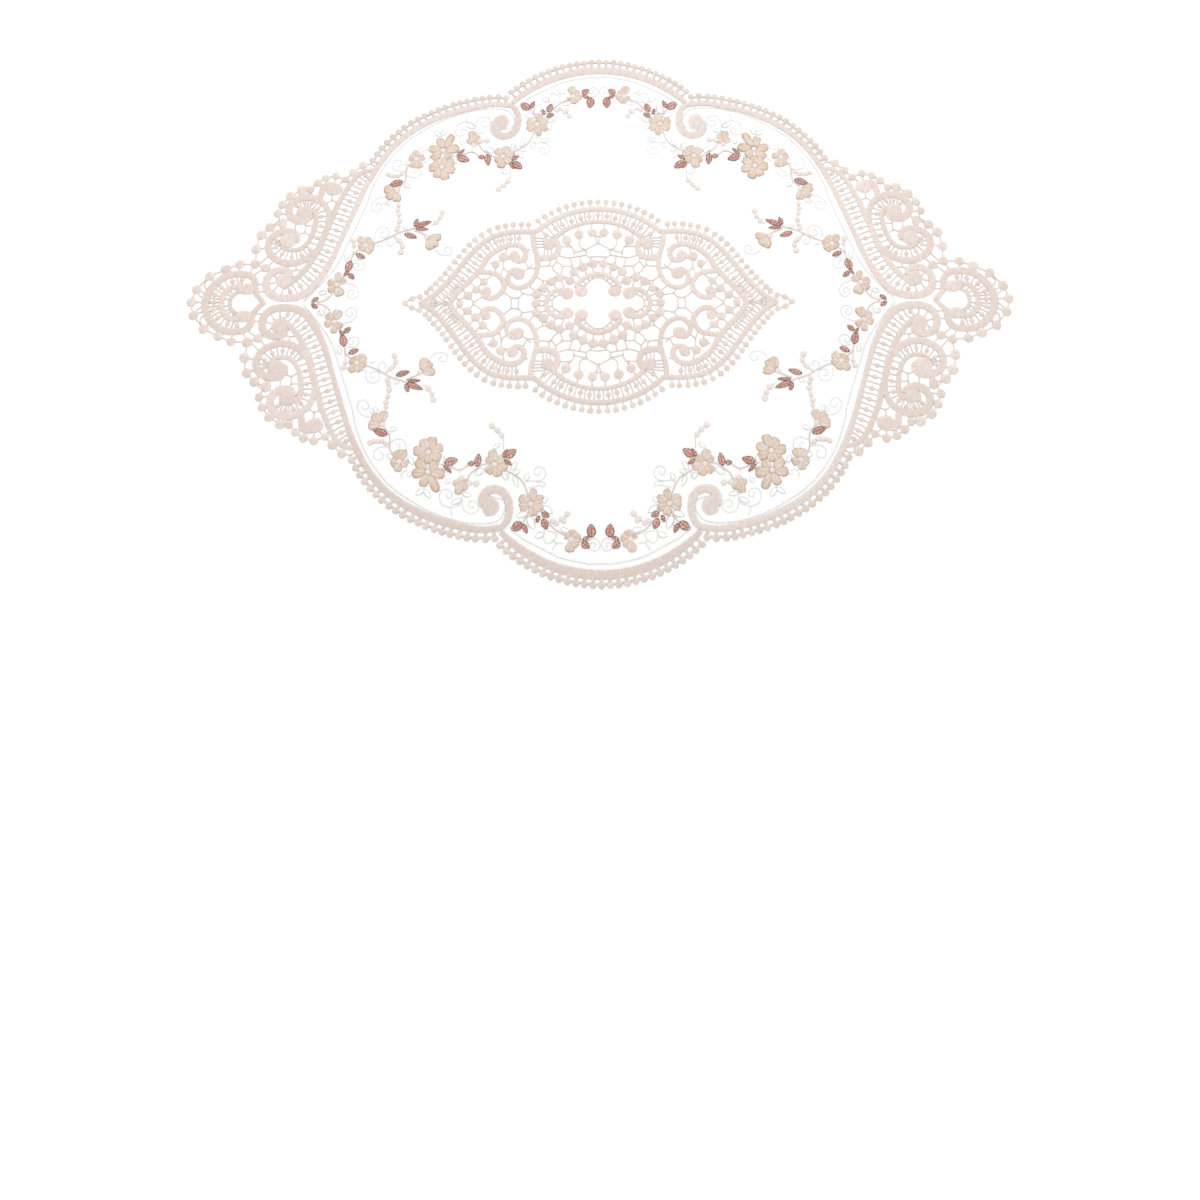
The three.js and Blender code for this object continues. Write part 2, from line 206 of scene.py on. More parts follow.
# Threads that tie the balls and the scrolls of a lace end together
END_NET = (
    ((129.2, 85.8), (129.8, 82.8), (134, 82)), ((129.8, 82.8), (126.8, 81.2)),
    ((134, 82), (139.2, 77.4)), ((139.2, 77.4), (143.4, 73)), ((143.4, 73), (149, 75.3)),
    ((149, 75.3), (154.6, 74)), ((154.6, 74), (159, 70.8)), ((159, 70.8), (162.8, 66.8)),
    ((162.8, 66.8), (167.5, 66.6)), ((167.5, 66.6), (173.7, 62.8)), ((173.7, 62.8), (177.8, 57.6)),
    ((177.8, 57.6), (180, 52.2)), ((180, 52.2), (178.8, 48.2), (183.4, 44)),
    ((183.4, 44), (187.8, 39.2)), ((187.8, 39.2), (188.9, 36.2), (189.9, 30.9)),
    ((189.9, 30.9), (189.4, 26.4), (189.4, 22.3)), ((189.4, 22.3), (198, 22)), ((198, 22), (205.3, 19)),
    ((205.3, 19), (213.8, 15)), ((213.8, 15), (220.2, 7.5)), ((220.2, 7.5), (222.2, 0)),
    ((133, 78.4), (134, 82)), ((137.6, 74.6), (139.2, 77.4)), ((141.2, 69.4), (143.4, 73)),
    ((146.4, 70.6), (143.4, 73)), ((149.4, 70.6), (149, 75.3)), ((153, 70.4), (154.6, 74)),
    ((156, 68), (159, 70.8)), ((160.6, 62.4), (162.8, 66.8)), ((165, 62.4), (167.5, 66.6)),
    ((172, 59), (173.7, 62.8)), ((174, 55), (177.8, 57.6)), ((173.6, 51.6), (180, 52.2)),
    ((176.6, 46.4), (183.4, 44)), ((180, 40), (183.4, 44)), ((182.8, 37), (187.8, 39.2)),
    ((184.4, 31.8), (189.9, 30.9)), ((183, 26.6), (186.7, 22.8), (189.4, 22.3)),
    ((189.4, 22.3), (183.5, 20)), ((183.5, 20), (180.4, 23), (178.6, 24.8)), ((183.5, 20), (181, 17.4)),
    ((183.5, 20), (186.4, 18.2), (190, 15.4)), ((189.4, 22.3), (192.4, 16.4)),
    ((198, 22), (197.6, 16.6)), ((205.3, 19), (204.8, 15)), ((205.3, 19), (208, 12.8)),
    ((213.8, 15), (210.2, 10.8)), ((213.8, 15), (216.2, 9.6), (212.8, 6.6)),
    ((220.2, 7.5), (214.2, 4.6)), ((220.2, 7.5), (218.2, 4), (214.6, 1.6)), ((222.2, 0), (214.8, 0)),
    ((162, 18.8), (166.4, 18.9), (169.6, 18.0)), ((166.4, 18.9), (166.6, 22.8)),
    ((171, 18.8), (171.2, 22.4)), ((182.4, 10.4), (187.8, 10.6)), ((181, 6.4), (187.6, 6.2)),
    ((150, 64.2), (150, 60.3)), ((150, 60.3), (147.3, 59.2), (146, 58.8)), ((150, 60.3), (153.2, 58.4)),
    ((158.6, 44.9), (163.4, 45)), ((163.4, 45), (164.8, 48.2)), ((163.4, 45), (163.6, 41)),
    ((163.6, 41), (168, 39.4)), ((163.6, 41), (160, 38.6)), ((169.2, 47.4), (169.2, 43), (168.4, 40.6)),
    ((172.6, 49.6), (175.4, 47.6)), ((176.6, 44), (175.6, 41.6)),
)
# Dots of the ladders of a lace end
FIRST_LADDER = (
    (132.2, 75.4), (135.0, 70.9), (137.0, 65.2), (139.8, 59.9), (142.0, 54.4), (143.9, 48.6),
    (145.9, 42.4), (147.9, 36.2), (150.0, 30.0), (152.4, 24.4), (155.6, 18.8), (158.8, 13.8),
    (163.2, 9.7), (168.6, 6.5),
)
SECOND_LADDER = (
    (169.4, 56.8), (165.4, 59.0), (161.0, 58.6), (157.4, 55.4), (155.2, 50.6), (155.0, 44.8),
    (156.4, 37.8), (160.0, 31.0), (164.2, 27.8), (169.6, 26.8), (175.0, 28.4), (178.8, 32.2),
    (179.0, 36.0),
)
HORSESHOE_LADDER = ((195.8, 13.0), (201.0, 12.0), (206.6, 8.7), (209.8, 4.4), (210.0, 0))
LADDER_DOTS = ((FIRST_LADDER, 1.4), (SECOND_LADDER, 1.25), (HORSESHOE_LADDER, 1.45))
# Places that a spoke crosses, from the small scroll's core and between the arcs by the tip
SMALL_SCROLL_SPOKES = ((173.0, 6.2), (177.0, 7.8), (178.8, 11.2), (177.2, 14.6), (173.4, 16.6))
TIP_SPOKES = ((198.8, 7.4), (201.5, 6.6), (202.8, 4.8), (203.2, 2.0))
# Points at the end of the edge line that run round the small scroll
SMALL_SCROLL_POINTS = 80

# The medallion's outer band: a middle lobe on one circle, then a long side to the point
MEDALLION_LOBE_CENTRE_Y = 4.5
MEDALLION_LOBE_RADIUS = 50.5
MEDALLION_LOBE_END_ANGLE = 43.5
MEDALLION_SIDE = (
    (34.8, 41.6), (38.5, 41.4), (46, 41.5), (55, 39.9), (60, 37.6), (65, 33.8), (70, 28.6), (75, 22),
    (80, 15.2), (85, 9.2), (90, 4.2), (93.4, 1.9), (96.8, 0),
)
MEDALLION_HALF_WIDTH = 1.35
MEDALLION_PICOT_OFFSET = 4.5
MEDALLION_PICOT_RADIUS = 1.6
MEDALLION_LOBE_PICOT_STEP = 4.7
MEDALLION_LOBE_PICOTS_A_SIDE = 8
MEDALLION_PICOT_BAR = 0.24
MEDALLION_SIDE_PICOTS = 19
# Points of the side's line before its first picot and after its last one
MEDALLION_SIDE_FREE = (8, 4)
# Over this many points before the tip the picots come closer to the band, up to this share, and
# the last ones hang in a chain past it
MEDALLION_POINT_STRETCH = 24
MEDALLION_POINT_NEARNESS = 0.24
MEDALLION_POINT_PICOTS = (((97.4, 4.2), (101.4, 2.6)), ((101.4, 2.6), (105.2, 0)))
MEDALLION_BANDS = (
    # line, half widths
    (((0, 47.3), (5, 47.1), (10, 45.9), (15, 44.1), (20, 41.2), (24.2, 37.8)), (1.1, 1.1, 1.4)),
    (((36, 42.1), (36.1, 38.6), (36, 35.5), (35.2, 32.0), (34.2, 28.4), (33.4, 24.9), (33.2, 21.3),
      (33.8, 17.8), (35.2, 14.4), (37.4, 11.4), (40.6, 9.3), (44, 8.8), (47.2, 10.0), (49.2, 12.6),
      (49.4, 15.6), (47.6, 18.5), (44.6, 19.6)), (1.35, 1.35)),
    (((25.5, 37.1), (22.6, 35.1), (21.8, 31.5), (23.4, 27.8), (27, 26.2), (31, 26.0), (33.8, 27.1)),
     (1.7, 1.7)),
    (((47.4, 26.4), (45, 24.6), (41.8, 24.7), (39.9, 27.0), (40.2, 30.2), (42.6, 32.9), (46.6, 33.9),
      (51, 33.1), (55, 31.1), (58.6, 28.6), (61.5, 25.4), (64, 20.8), (68, 15.7), (72, 11.2), (75, 8.1),
      (78, 4.6), (80.4, 0)), (1.5, 1.5)),
    (((66, 18.1), (60, 17.7), (55, 16.2), (52, 12.2), (51.4, 9.1), (53, 6.1), (56, 3.5), (60, 3.0),
      (62.4, 4.7), (62, 7.7)), (1.4, 1.5)),
    (((0, 16.9), (4, 16.0), (8, 14.0), (11, 11.2), (12, 8.6)), (1.25, 1.25, 1.4)),
    (((17.6, 7.4), (20, 7.9), (24, 6.9), (27, 4.1), (28.2, 1.4), (28.3, 0)), (1.3, 1.25)),
    (((91.0, 0), (96.4, 0)), (2.7, 2.0, 0.9)),
)
# Full discs of the medallion: x, y, half length, half height
MEDALLION_DISCS = (
    (27.0, 34.3, 3.6, 3.5), (43.6, 16.9, 3.8, 3.5), (46.2, 27.3, 3.1, 3.1), (9.1, 6.6, 3.8, 3.1),
    (16.8, 5.5, 3.6, 3.5), (61.0, 7.0, 2.8, 2.8),
)
# Balls of the medallion: x, y, radius
MEDALLION_BALLS = (
    (3.3, 40.9, 2.8), (10.6, 39.8, 2.8), (17.3, 36.4, 2.8), (52.3, 26.6, 2.8), (56.4, 22.5, 2.6),
    (62.4, 12.4, 2.5), (66.5, 7.9, 2.5), (71, 4.3, 2.5), (75.2, 0, 2.3),
    (2.9, 22.7, 2.7), (8.3, 20.7, 2.8), (13.2, 18.1, 2.8), (15.5, 12.7, 2.7), (20.8, 14.7, 2.7),
    (25.5, 12.3, 2.7), (29.6, 8.5, 2.7), (33.6, 5.1, 2.7), (34, 0, 2.5),
)
# Threads that tie the medallion's bands, discs and balls together
MEDALLION_NET = (
    ((1, 38), (0.8, 34.5), (5, 32), (6.5, 31), (9.8, 32.5), (10.3, 37.4)), ((0.8, 34.5), (0, 33.9)),
    ((3.7, 41.1), (1, 38)), ((0, 39.2), (1, 38)),
    ((6.5, 30.8), (12, 29.4), (13, 29.7), (14.5, 32.5), (16.4, 34.1)),
    ((6.5, 30.5), (6.8, 27.8), (10, 27.1), (16.5, 26.1), (20.5, 27.1), (23, 27.8)),
    ((13.3, 29.4), (13.3, 27.6)), ((6.8, 27.8), (4.5, 26.1), (3.4, 24.1)), ((4.5, 26.4), (0, 26.8)),
    ((10, 26.6), (9.3, 22.7)), ((15.5, 25.9), (13.8, 20.3)),
    ((22.6, 27), (22.8, 24.1), (20, 21.7), (19.5, 19.7), (20.4, 16.7)),
    ((19.5, 21.1), (15.5, 21.2), (13.8, 20.3)), ((26.5, 25.2), (27, 21.7), (33.2, 21)),
    ((27, 21.7), (25.3, 20.7), (24.3, 18.7), (22.0, 17.1)), ((25.3, 20.7), (22.8, 24.1)),
    ((14.5, 32.5), (19.4, 32.7), (21.6, 32.1)), ((27.4, 12.8), (30.4, 13.0), (34.8, 16)),
    ((29.6, 9.8), (30.4, 13)), ((37.6, 31.1), (40.4, 30.7)), ((36.2, 22.3), (38.2, 20.1), (41.2, 18.5)),
    ((38.2, 20.1), (40.4, 24.2)), ((34.2, 19.9), (38.2, 20.1)), ((50.6, 31.3), (52, 25.1)),
    ((52, 25.1), (52, 20.7), (49.8, 18.3), (47.8, 17.3)), ((52, 25.1), (48, 25.8)),
    ((56.5, 20.2), (59.6, 23.6)), ((56.5, 20.2), (56.8, 17.1)), ((52, 20.7), (53.8, 15.4)),
    ((33.4, 6.2), (36, 8.4), (38.4, 10.6)), ((34.4, 4.5), (41, 5.6), (42.9, 8.9)),
    ((33.6, 7.5), (31.8, 8.9)), ((41.2, 5.5), (43.3, 3.3), (47.3, 3.2), (51.4, 6.5)),
    ((43.3, 3.3), (43.3, 0)), ((47.3, 3.2), (47.3, 0)), ((62.6, 12.2), (66.4, 15.8)),
    ((66.5, 8.5), (70, 12.2)), ((71, 4.5), (74.4, 7.9)), ((76, 1.9), (78.6, 4.3)),
    ((62.6, 12.2), (66.5, 8.5)), ((66.5, 8.5), (71, 4.5)), ((71, 4.5), (76, 1.9)),
    ((62.6, 12.2), (58.6, 15.6)), ((66.5, 8.5), (63.4, 3.9), (68, 0)), ((60.8, 4.3), (63.4, 3.9)),
    ((71, 4.5), (68, 0)), ((3.3, 23.4), (2.6, 17.9)), ((8.3, 21.7), (6.4, 16.5)),
    ((13.2, 18.9), (10, 14.2)), ((15.3, 14.3), (12, 11.2)), ((20.8, 15.8), (18.6, 9.1)),
    ((25.5, 13.8), (23, 8.5)), ((29.6, 9.8), (26.2, 6.1)), ((33.4, 6.2), (27.6, 3.7)),
    ((34.3, 1.8), (28.2, 1)),
    ((0, 23.8), (3.3, 23.4), (8.3, 21.7), (13.2, 18.9), (15.3, 14.3), (20.8, 15.8), (25.5, 13.8),
     (29.6, 9.8), (33.4, 6.2), (34.6, 0)), ((0, 14.6), (3, 13.8), (6, 11.3), (7.4, 8.9)),
    ((0, 14.6), (0, 17.7)), ((2.4, 14), (3.4, 17.3)), ((4.6, 12.6), (6.6, 16)),
    ((6.4, 10.6), (9.4, 13.8)), ((7.6, 9.5), (11.4, 11)),
    ((18.4, 5.4), (22, 4.4), (24.5, 2.5), (25, 0)), ((21, 4.7), (22.2, 8.5)),
    ((23.4, 3.5), (25.8, 6.3)), ((24.8, 1.4), (28, 2.4)), ((19.2, 5.3), (19.4, 8.7)),
    ((3.7, 41.1), (3.4, 46.9)), ((10.7, 39), (11.4, 45.1)), ((17.5, 35.7), (19.6, 40.2)),
    ((29.6, 37.4), (36, 38.0)), ((30, 35.9), (36, 36.0)), ((30, 34.2), (35.8, 34.2)),
    ((29.4, 32.6), (35.2, 32.0)), ((25.8, 32.4), (25.6, 26.6)), ((27.8, 31.8), (27.8, 26.2)),
    ((29.4, 32.6), (30, 26.2)), ((28.6, 37.4), (31.2, 41.8)), ((86.4, 0), (91.2, 0)),
    ((86.8, 0.8), (90.2, 3.2)), ((86.9, 0.4), (90.9, 1.7)),
)
# Dots of the medallion's ladders
MEDALLION_TOP_LADDER = (
    (0, 51.3), (5, 50.8), (9.6, 49.5), (14.8, 47.9), (19.8, 45.9), (23.8, 43.7), (29, 39.8),
)
MEDALLION_SIDE_LADDER = (
    (43.7, 37.9), (48.5, 37.5), (53, 36.8), (57, 35.4), (61.3, 32.3), (65.3, 27.7), (68, 23.3), (71, 19),
    (74.3, 13.7), (77.2, 10), (79.9, 7), (83.2, 3.9), (86.4, 0),
)
MEDALLION_LADDER_DOT = 1.4

# Outline stitch on the ground, inside the lobe and inside the corner rim
LOBE_OUTLINE = (
    (0, 137.5), (5, 137.6), (10, 136.9), (20, 134.7), (25, 132.5), (29.6, 130.2), (34.5, 127.7),
    (39.4, 125.1), (43.4, 121.9), (46.4, 119.1),
)
CORNER_OUTLINE = (
    (57, 103.5), (52, 105), (50.0, 105.6), (48.8, 107.2), (48.6, 110), (49.8, 113.4), (52, 115.9),
    (56, 117.2), (60, 117.6), (65, 117.4), (70, 116.8), (75, 115.6), (80, 114.2), (85, 112.2),
    (90, 110), (95, 107.1), (100, 104.2), (105, 100.8), (110.4, 96.0), (115.7, 90.0), (118.9, 85.5),
    (122.1, 80.5), (125.0, 74.4), (127.8, 67.3), (130, 58.5), (133, 50), (136, 42), (139.5, 33),
    (142, 26), (145, 20), (149, 14.6), (154, 8.4), (161, 0.6),
)

# Flowers: the middle, then the tip and half width of each petal
FLOWERS = (
    ((15.0, 125.4), ((16.0, 132.2, 2.5), (11.4, 129.2, 1.8), (9.8, 124.6, 2.2), (13.2, 120.7, 2.3),
      (18.2, 123.4, 1.5))),
    ((35.4, 107.6), ((29.0, 110.6, 2.2), (33.4, 114.2, 2.1), (41.6, 109.8, 2.5), (41.4, 104.0, 2.4),
      (33.8, 99.9, 2.0), (28.8, 104.2, 2.2))),
    ((54.3, 87.4), ((52.0, 94.0, 2.5), (58.6, 92.2, 2.4), (47.3, 89.8, 2.1), (49.4, 83.2, 2.2),
      (55.7, 79.7, 2.5), (59.2, 83.8, 1.8))),
    ((71.4, 94.6), ((73.2, 103.4, 2.1), (69.4, 101.4, 2.3), (75.0, 98.6, 2.1), (67.8, 98.2, 2.0))),
    ((88.8, 91.2), ((83.2, 101.6, 2.4), (91.6, 99.4, 2.4), (97.3, 92.4, 2.6), (79.4, 92.6, 3.0),
      (84.0, 85.8, 2.4), (95.2, 85.0, 2.7))),
    ((88.9, 80.9), ((86.2, 72.4, 2.7), (92.6, 74.0, 2.5), (97.2, 80.2, 2.7), (80.9, 78.2, 2.5),
      (81.8, 84.9, 2.4), (93.6, 85.6, 2.2), (88.4, 87.4, 2.0))),
    ((103.9, 85.9), ((104.5, 91.5, 2.2), (108.3, 87.2, 2.3), (99.0, 87.5, 2.2), (101.1, 79.8, 2.4),
      (106.0, 80.1, 2.3))),
    ((113.6, 66.4), ((121.4, 67.2, 2.8), (119.2, 61.4, 2.3), (113.2, 59.0, 2.4))),
    ((95.2, 38.4), ((86.6, 38.2, 2.2), (88.6, 33.2, 2.0), (92.2, 30.6, 2.6))),
    ((129.2, 33.4), ((133.2, 38.5, 2.2), (127.0, 38.3, 2.4), (123.6, 34.4, 2.0), (124.8, 29.0, 2.5),
      (130.4, 29.4, 2.2), (133.4, 32.4, 1.6))),
    ((143.2, 10.6), ((142.8, 17.6, 1.9), (138.4, 13.8, 1.9), (140.6, 3.4, 2.8), (148.4, 12.2, 2.2),
      (147.6, 6.2, 2.1))),
)
# Leaves: foot, tip and half width
LEAVES = (
    (9.8, 126.7, 5.9, 129.8, 1.9), (9.6, 126.0, 5.4, 123.9, 0.9), (4.4, 125.0, 5.0, 117.8, 2.3),
    (29.4, 114.8, 27.2, 120.6, 1.8), (30.2, 111.9, 25.8, 114.3, 1.4), (31.1, 113.3, 32.5, 117.1, 1.1),
    (39.4, 117.4, 37.3, 122.4, 1.3), (39.6, 116.8, 45.2, 121.0, 2.3), (49.6, 84.8, 45.4, 87.8, 1.1),
    (49.2, 84.0, 43.2, 79.8, 2.2), (49.9, 84.2, 47.9, 79.5, 1.3), (63.5, 89.2, 62.5, 81.9, 1.8),
    (64.7, 87.1, 68.3, 87.0, 1.4), (80.8, 87.0, 73.5, 84.9, 2.2), (80.9, 87.7, 76.5, 91.8, 1.0),
    (110.2, 72.2, 118.4, 69.2, 2.0), (102.6, 44.3, 93.0, 47.8, 1.5), (102.2, 43.2, 94.6, 43.0, 1.0),
    (102.5, 44.4, 100.8, 49.4, 1.3), (108.4, 40.4, 100.6, 38.0, 1.5), (134.4, 28.5, 128.6, 25.9, 1.4),
    (136.4, 24.9, 138.4, 17.3, 2.0), (137.6, 17.0, 133.8, 13.8, 1.4), (137.4, 18.8, 139.7, 15.3, 0.9),
    (152.6, 3.2, 156.4, 0.4, 1.2),
)
WHITE_LEAVES = (
    (16.2, 121.6, 20.8, 120.0, 1.2), (28.9, 122.5, 33.3, 124.4, 1.4), (36.6, 114.0, 33.8, 120.4, 1.9),
    (37.0, 112.2, 43.0, 114.0, 1.5), (29.2, 109.0, 24.3, 112.4, 1.5), (29.0, 107.2, 27.2, 104.0, 1.1),
    (38.2, 95.8, 36.8, 91.9, 1.1), (44.6, 93.2, 42.0, 99.2, 1.0), (44.4, 92.3, 40.9, 90.4, 1.0),
    (49.4, 92.0, 48.2, 95.6, 1.2), (45.6, 90.4, 42.8, 86.0, 1.1), (60.0, 89.7, 64.4, 93.0, 1.6),
    (70.4, 102.6, 65.7, 103.4, 1.1), (71.0, 105.4, 76.4, 107.4, 1.3), (77.4, 94.6, 79.0, 97.6, 1.1),
    (90.2, 100.2, 87.0, 104.8, 1.2), (90.4, 100.2, 94.6, 103.0, 1.3), (97.2, 91.4, 99.2, 93.6, 0.9),
    (96.6, 87.4, 99.2, 83.2, 1.1), (82.2, 87.6, 81.0, 83.0, 1.0), (107.2, 84.2, 110.4, 82.2, 1.2),
    (109.8, 69.8, 105.6, 68.2, 1.1), (116.8, 60.4, 118.4, 57.2, 1.0), (118.8, 60.8, 120.4, 57.8, 0.8),
    (55.0, 79.2, 51.6, 76.4, 1.0), (138.6, 28.6, 139.6, 24.4, 1.1), (151.4, 4.6, 148.6, 7.2, 0.9),
    (106.0, 43.4, 109.2, 44.6, 0.8),
)
STEMS = (
    ((17.4, 123.2), (20.0, 122.4), (22.6, 120.8), (24.8, 118.8), (27.4, 116.2), (29.8, 113.8)),
    ((5.2, 125.4), (7.6, 126.0), (10.8, 126.0)),
    ((39.6, 117.0), (38.2, 115.2), (37.0, 113.4), (36.4, 111.4), (36.0, 109.2)),
    ((36.8, 105.4), (37.0, 102.8), (37.8, 100.4), (38.8, 98.0), (40.2, 95.8), (42.0, 94.0),
     (44.0, 92.7), (46.0, 91.6), (48.6, 90.2)),
    ((56.6, 87.2), (59.0, 87.1), (61.0, 87.8), (62.8, 88.9), (64.2, 90.2), (66.0, 91.4), (67.3, 93.0),
     (68.2, 95.2)),
    ((65.0, 86.9), (67.8, 87.4), (69.4, 88.9), (71.5, 90.0), (73.6, 90.1), (76.0, 89.0), (78.6, 88.2),
     (81.4, 87.6)),
    ((106.2, 83.8), (107.8, 81.9), (108.9, 79.6), (109.2, 77.0), (109.2, 74.0), (109.7, 71.8),
     (111.6, 69.2), (113.4, 67.2)),
    ((101.6, 44.2), (105.0, 42.8), (108.0, 42.0), (111.0, 41.0), (114.0, 39.3), (117.0, 37.7),
     (120.0, 36.2), (124.6, 34.6)),
    ((94.6, 39.0), (97.0, 40.2), (99.5, 41.2), (102.4, 42.4)),
    ((132.2, 31.2), (134.2, 29.6), (135.6, 28.0), (136.2, 26.2), (136.6, 24.2)),
    ((138.2, 18.6), (139.2, 16.2), (141.0, 13.6)),
    ((144.4, 8.6), (145.5, 5.2), (147.5, 2.7), (150.0, 1.1), (153.0, 0.4)),
    ((49.6, 84.6), (51.4, 85.6), (53.4, 86.8)),
)
# Fine grey tendrils and curls
TENDRILS = (
    ((9.0, 125.3), (5.0, 125.0), (2.0, 125.4), (0.5, 127.5), (0.9, 130.0), (3.0, 131.3), (5.1, 130.3),
     (5.5, 128.4), (4.4, 127.0), (2.9, 127.3), (2.6, 128.7), (3.5, 129.2)),
    ((19.2, 127.6), (21.4, 127.2), (22.8, 128.0), (24.0, 129.6), (24.8, 130.8)),
    ((22.4, 127.4), (24.0, 125.8)),
    ((28.2, 118.8), (28.5, 121.4), (28.8, 124.6), (28.0, 126.9), (26.0, 127.4), (24.0, 126.2),
     (22.6, 124.4), (22.4, 122.6), (24.4, 121.6), (27.0, 121.2)),
    ((36.6, 99.6), (34.0, 99.0), (31.0, 98.3), (28.4, 98.9), (28.0, 97.6), (29.4, 96.6), (33.0, 96.3)),
    ((38.6, 96.1), (36.0, 95.9), (33.0, 96.0), (30.0, 95.5), (28.0, 93.5), (27.8, 91.4), (29.0, 89.5),
     (31.6, 88.5), (33.2, 89.5), (33.8, 91.4), (32.8, 93.0), (31.0, 92.6), (30.5, 91.0)),
    ((70.6, 101.2), (70.8, 104.0), (70.6, 107.0), (70.2, 109.6), (68.8, 111.5), (66.5, 112.5),
     (64.0, 112.0), (62.4, 110.5), (62.3, 108.9), (63.0, 107.2), (64.6, 106.0), (66.4, 106.2),
     (67.5, 107.6), (67.0, 109.1), (65.7, 109.8), (64.5, 109.0)),
    ((75.3, 113.9), (76.2, 112.0), (76.4, 110.4), (75.8, 109.3), (74.0, 108.9), (72.0, 107.9),
     (71.0, 106.4)),
    ((75.9, 109.5), (78.5, 109.0), (80.6, 107.9), (81.9, 106.0), (82.3, 103.4), (81.6, 101.1),
     (79.5, 100.2), (77.0, 101.0), (75.8, 102.9), (76.2, 104.3), (77.6, 104.7), (78.8, 103.7),
     (78.6, 102.3)),
    ((47.2, 91.2), (46.9, 93.4), (47.4, 94.8), (49.2, 94.6)),
    ((71.8, 90.4), (72.4, 92.0)),
    ((99.4, 90.2), (101.2, 91.2), (102.6, 93.0), (101.8, 94.4)),
    ((100.9, 80.2), (100.5, 77.6), (101.8, 75.1), (104.2, 74.2), (106.6, 74.6), (108.6, 75.8)),
    ((104.3, 76.6), (103.9, 78.6), (104.5, 80.2)),
    ((109.4, 78.8), (112.0, 78.3), (115.0, 78.7), (117.0, 80.5), (117.2, 83.0), (115.8, 84.8),
     (113.4, 85.0), (112.1, 83.5), (112.5, 81.8), (114.0, 81.1)),
    ((119.6, 62.6), (122.0, 62.3), (124.4, 61.4), (126.5, 59.5), (127.4, 57.0), (126.7, 54.4),
     (124.5, 53.4), (122.2, 54.8), (121.4, 57.0), (122.8, 58.6), (124.7, 58.0), (124.9, 56.4)),
    ((92.8, 45.2), (91.2, 46.4), (90.2, 47.4)),
    ((90.4, 32.4), (89.4, 30.0), (87.4, 28.2), (84.0, 27.6), (81.4, 28.6), (80.8, 31.0), (82.2, 32.6),
     (84.4, 32.2), (85.0, 30.4), (83.8, 29.6)),
    ((124.0, 37.0), (124.2, 40.0), (123.0, 43.0), (120.2, 44.4), (117.4, 43.4), (116.4, 40.8),
     (117.6, 38.4), (120.0, 38.0), (121.6, 39.6), (120.6, 41.6), (118.9, 41.0)),
    ((116.2, 37.8), (117.4, 35.6), (116.6, 33.6), (114.6, 33.2), (113.4, 34.6), (114.4, 36.0)),
    ((119.2, 32.6), (121.4, 33.4), (122.6, 32.4)),
    ((134.8, 24.2), (133.0, 25.0), (130.4, 24.6), (128.9, 22.0), (129.6, 19.6), (132.2, 18.9),
     (134.4, 20.2), (134.6, 22.6), (133.0, 23.4), (131.8, 22.2), (132.4, 20.9)),
    ((138.6, 12.0), (136.6, 11.0), (134.4, 10.5), (132.0, 8.6), (131.1, 5.6), (132.3, 3.0),
     (134.6, 2.5), (136.8, 4.3), (136.8, 6.6), (135.0, 7.8), (133.6, 6.9), (133.6, 5.4), (134.7, 4.8)),
    ((148.4, 3.0), (148.8, 5.6), (150.2, 7.2), (152.2, 6.6), (152.6, 5.0), (151.4, 4.2)),
    ((106.0, 76.4), (105.4, 77.8)),
    ((112.2, 40.4), (113.6, 38.4), (112.6, 37.6)),
)
# Beaded sprigs: the thread they hang on, then the beads with their radius
SPRIGS = (
    (((27.6, 116.2), (23.4, 116.8), (19.2, 115.9), (16.9, 112.9)), ((24.2, 116.4, 1.4),
      (22.4, 117.6, 1.2), (19.7, 115.2, 1.3), (18.5, 116.3, 1.3), (16.9, 112.8, 1.5))),
    (((49.8, 79.2), (50.0, 76.8), (49.8, 75.0), (51.2, 72.0), (53.4, 69.4), (56.2, 67.2)),
     ((51.0, 72.2, 1.5), (53.3, 69.6, 1.5), (56.2, 67.2, 1.6))),
    (((68.6, 96.8), (66.0, 97.2), (63.6, 97.3)), ((67.4, 97.1, 1.6), (63.6, 97.3, 1.6))),
    (((109.2, 78.0), (112.6, 75.7), (116.4, 75.3), (119.8, 76.4)), ((111.4, 76.6, 1.2),
      (113.4, 75.4, 1.2), (115.6, 75.4, 1.3), (117.6, 75.4, 1.2), (119.6, 76.3, 1.4))),
    (((112.6, 60.0), (111.9, 57.0), (112.3, 55.0), (111.6, 51.0), (110.9, 47.6), (111.5, 45.0),
      (112.4, 41.6)), ((112.2, 57.2, 1.2), (112.4, 54.6, 1.4), (111.7, 51.6, 1.3), (111.1, 47.9, 1.6),
      (111.5, 45.0, 1.2), (112.3, 42.8, 1.4))),
    (((92.8, 45.4), (90.3, 47.4), (88.3, 50.2), (87.4, 53.4)), ((90.4, 47.2, 1.6), (88.3, 50.1, 1.4),
      (87.4, 53.3, 1.6))),
    (((113.4, 39.0), (111.4, 36.8), (109.4, 35.4), (108.6, 32.8), (109.4, 29.4)), ((110.8, 36.4, 1.4),
      (109.4, 35.2, 1.1), (108.4, 32.8, 1.4), (109.3, 29.5, 1.7))),
    (((136.2, 27.4), (135.6, 31.4), (135.8, 36.0)), ((136.1, 36.0, 1.4), (135.4, 33.2, 1.2))),
)

# The outline's stitches: length, the share of it that shows, and radius
OUTLINE_STITCH = (3.1, 0.93)
OUTLINE_RADIUS = 0.2
# How far a petal's foot lies from the middle, then its height and its point, both at random
PETAL_FOOT = 0.6
PETAL_RAISE = (-0.12, 0.05)
PETAL_POINT = (-0.05, 0.06)
FLOWER_MIDDLE = (1.5, 1.4)
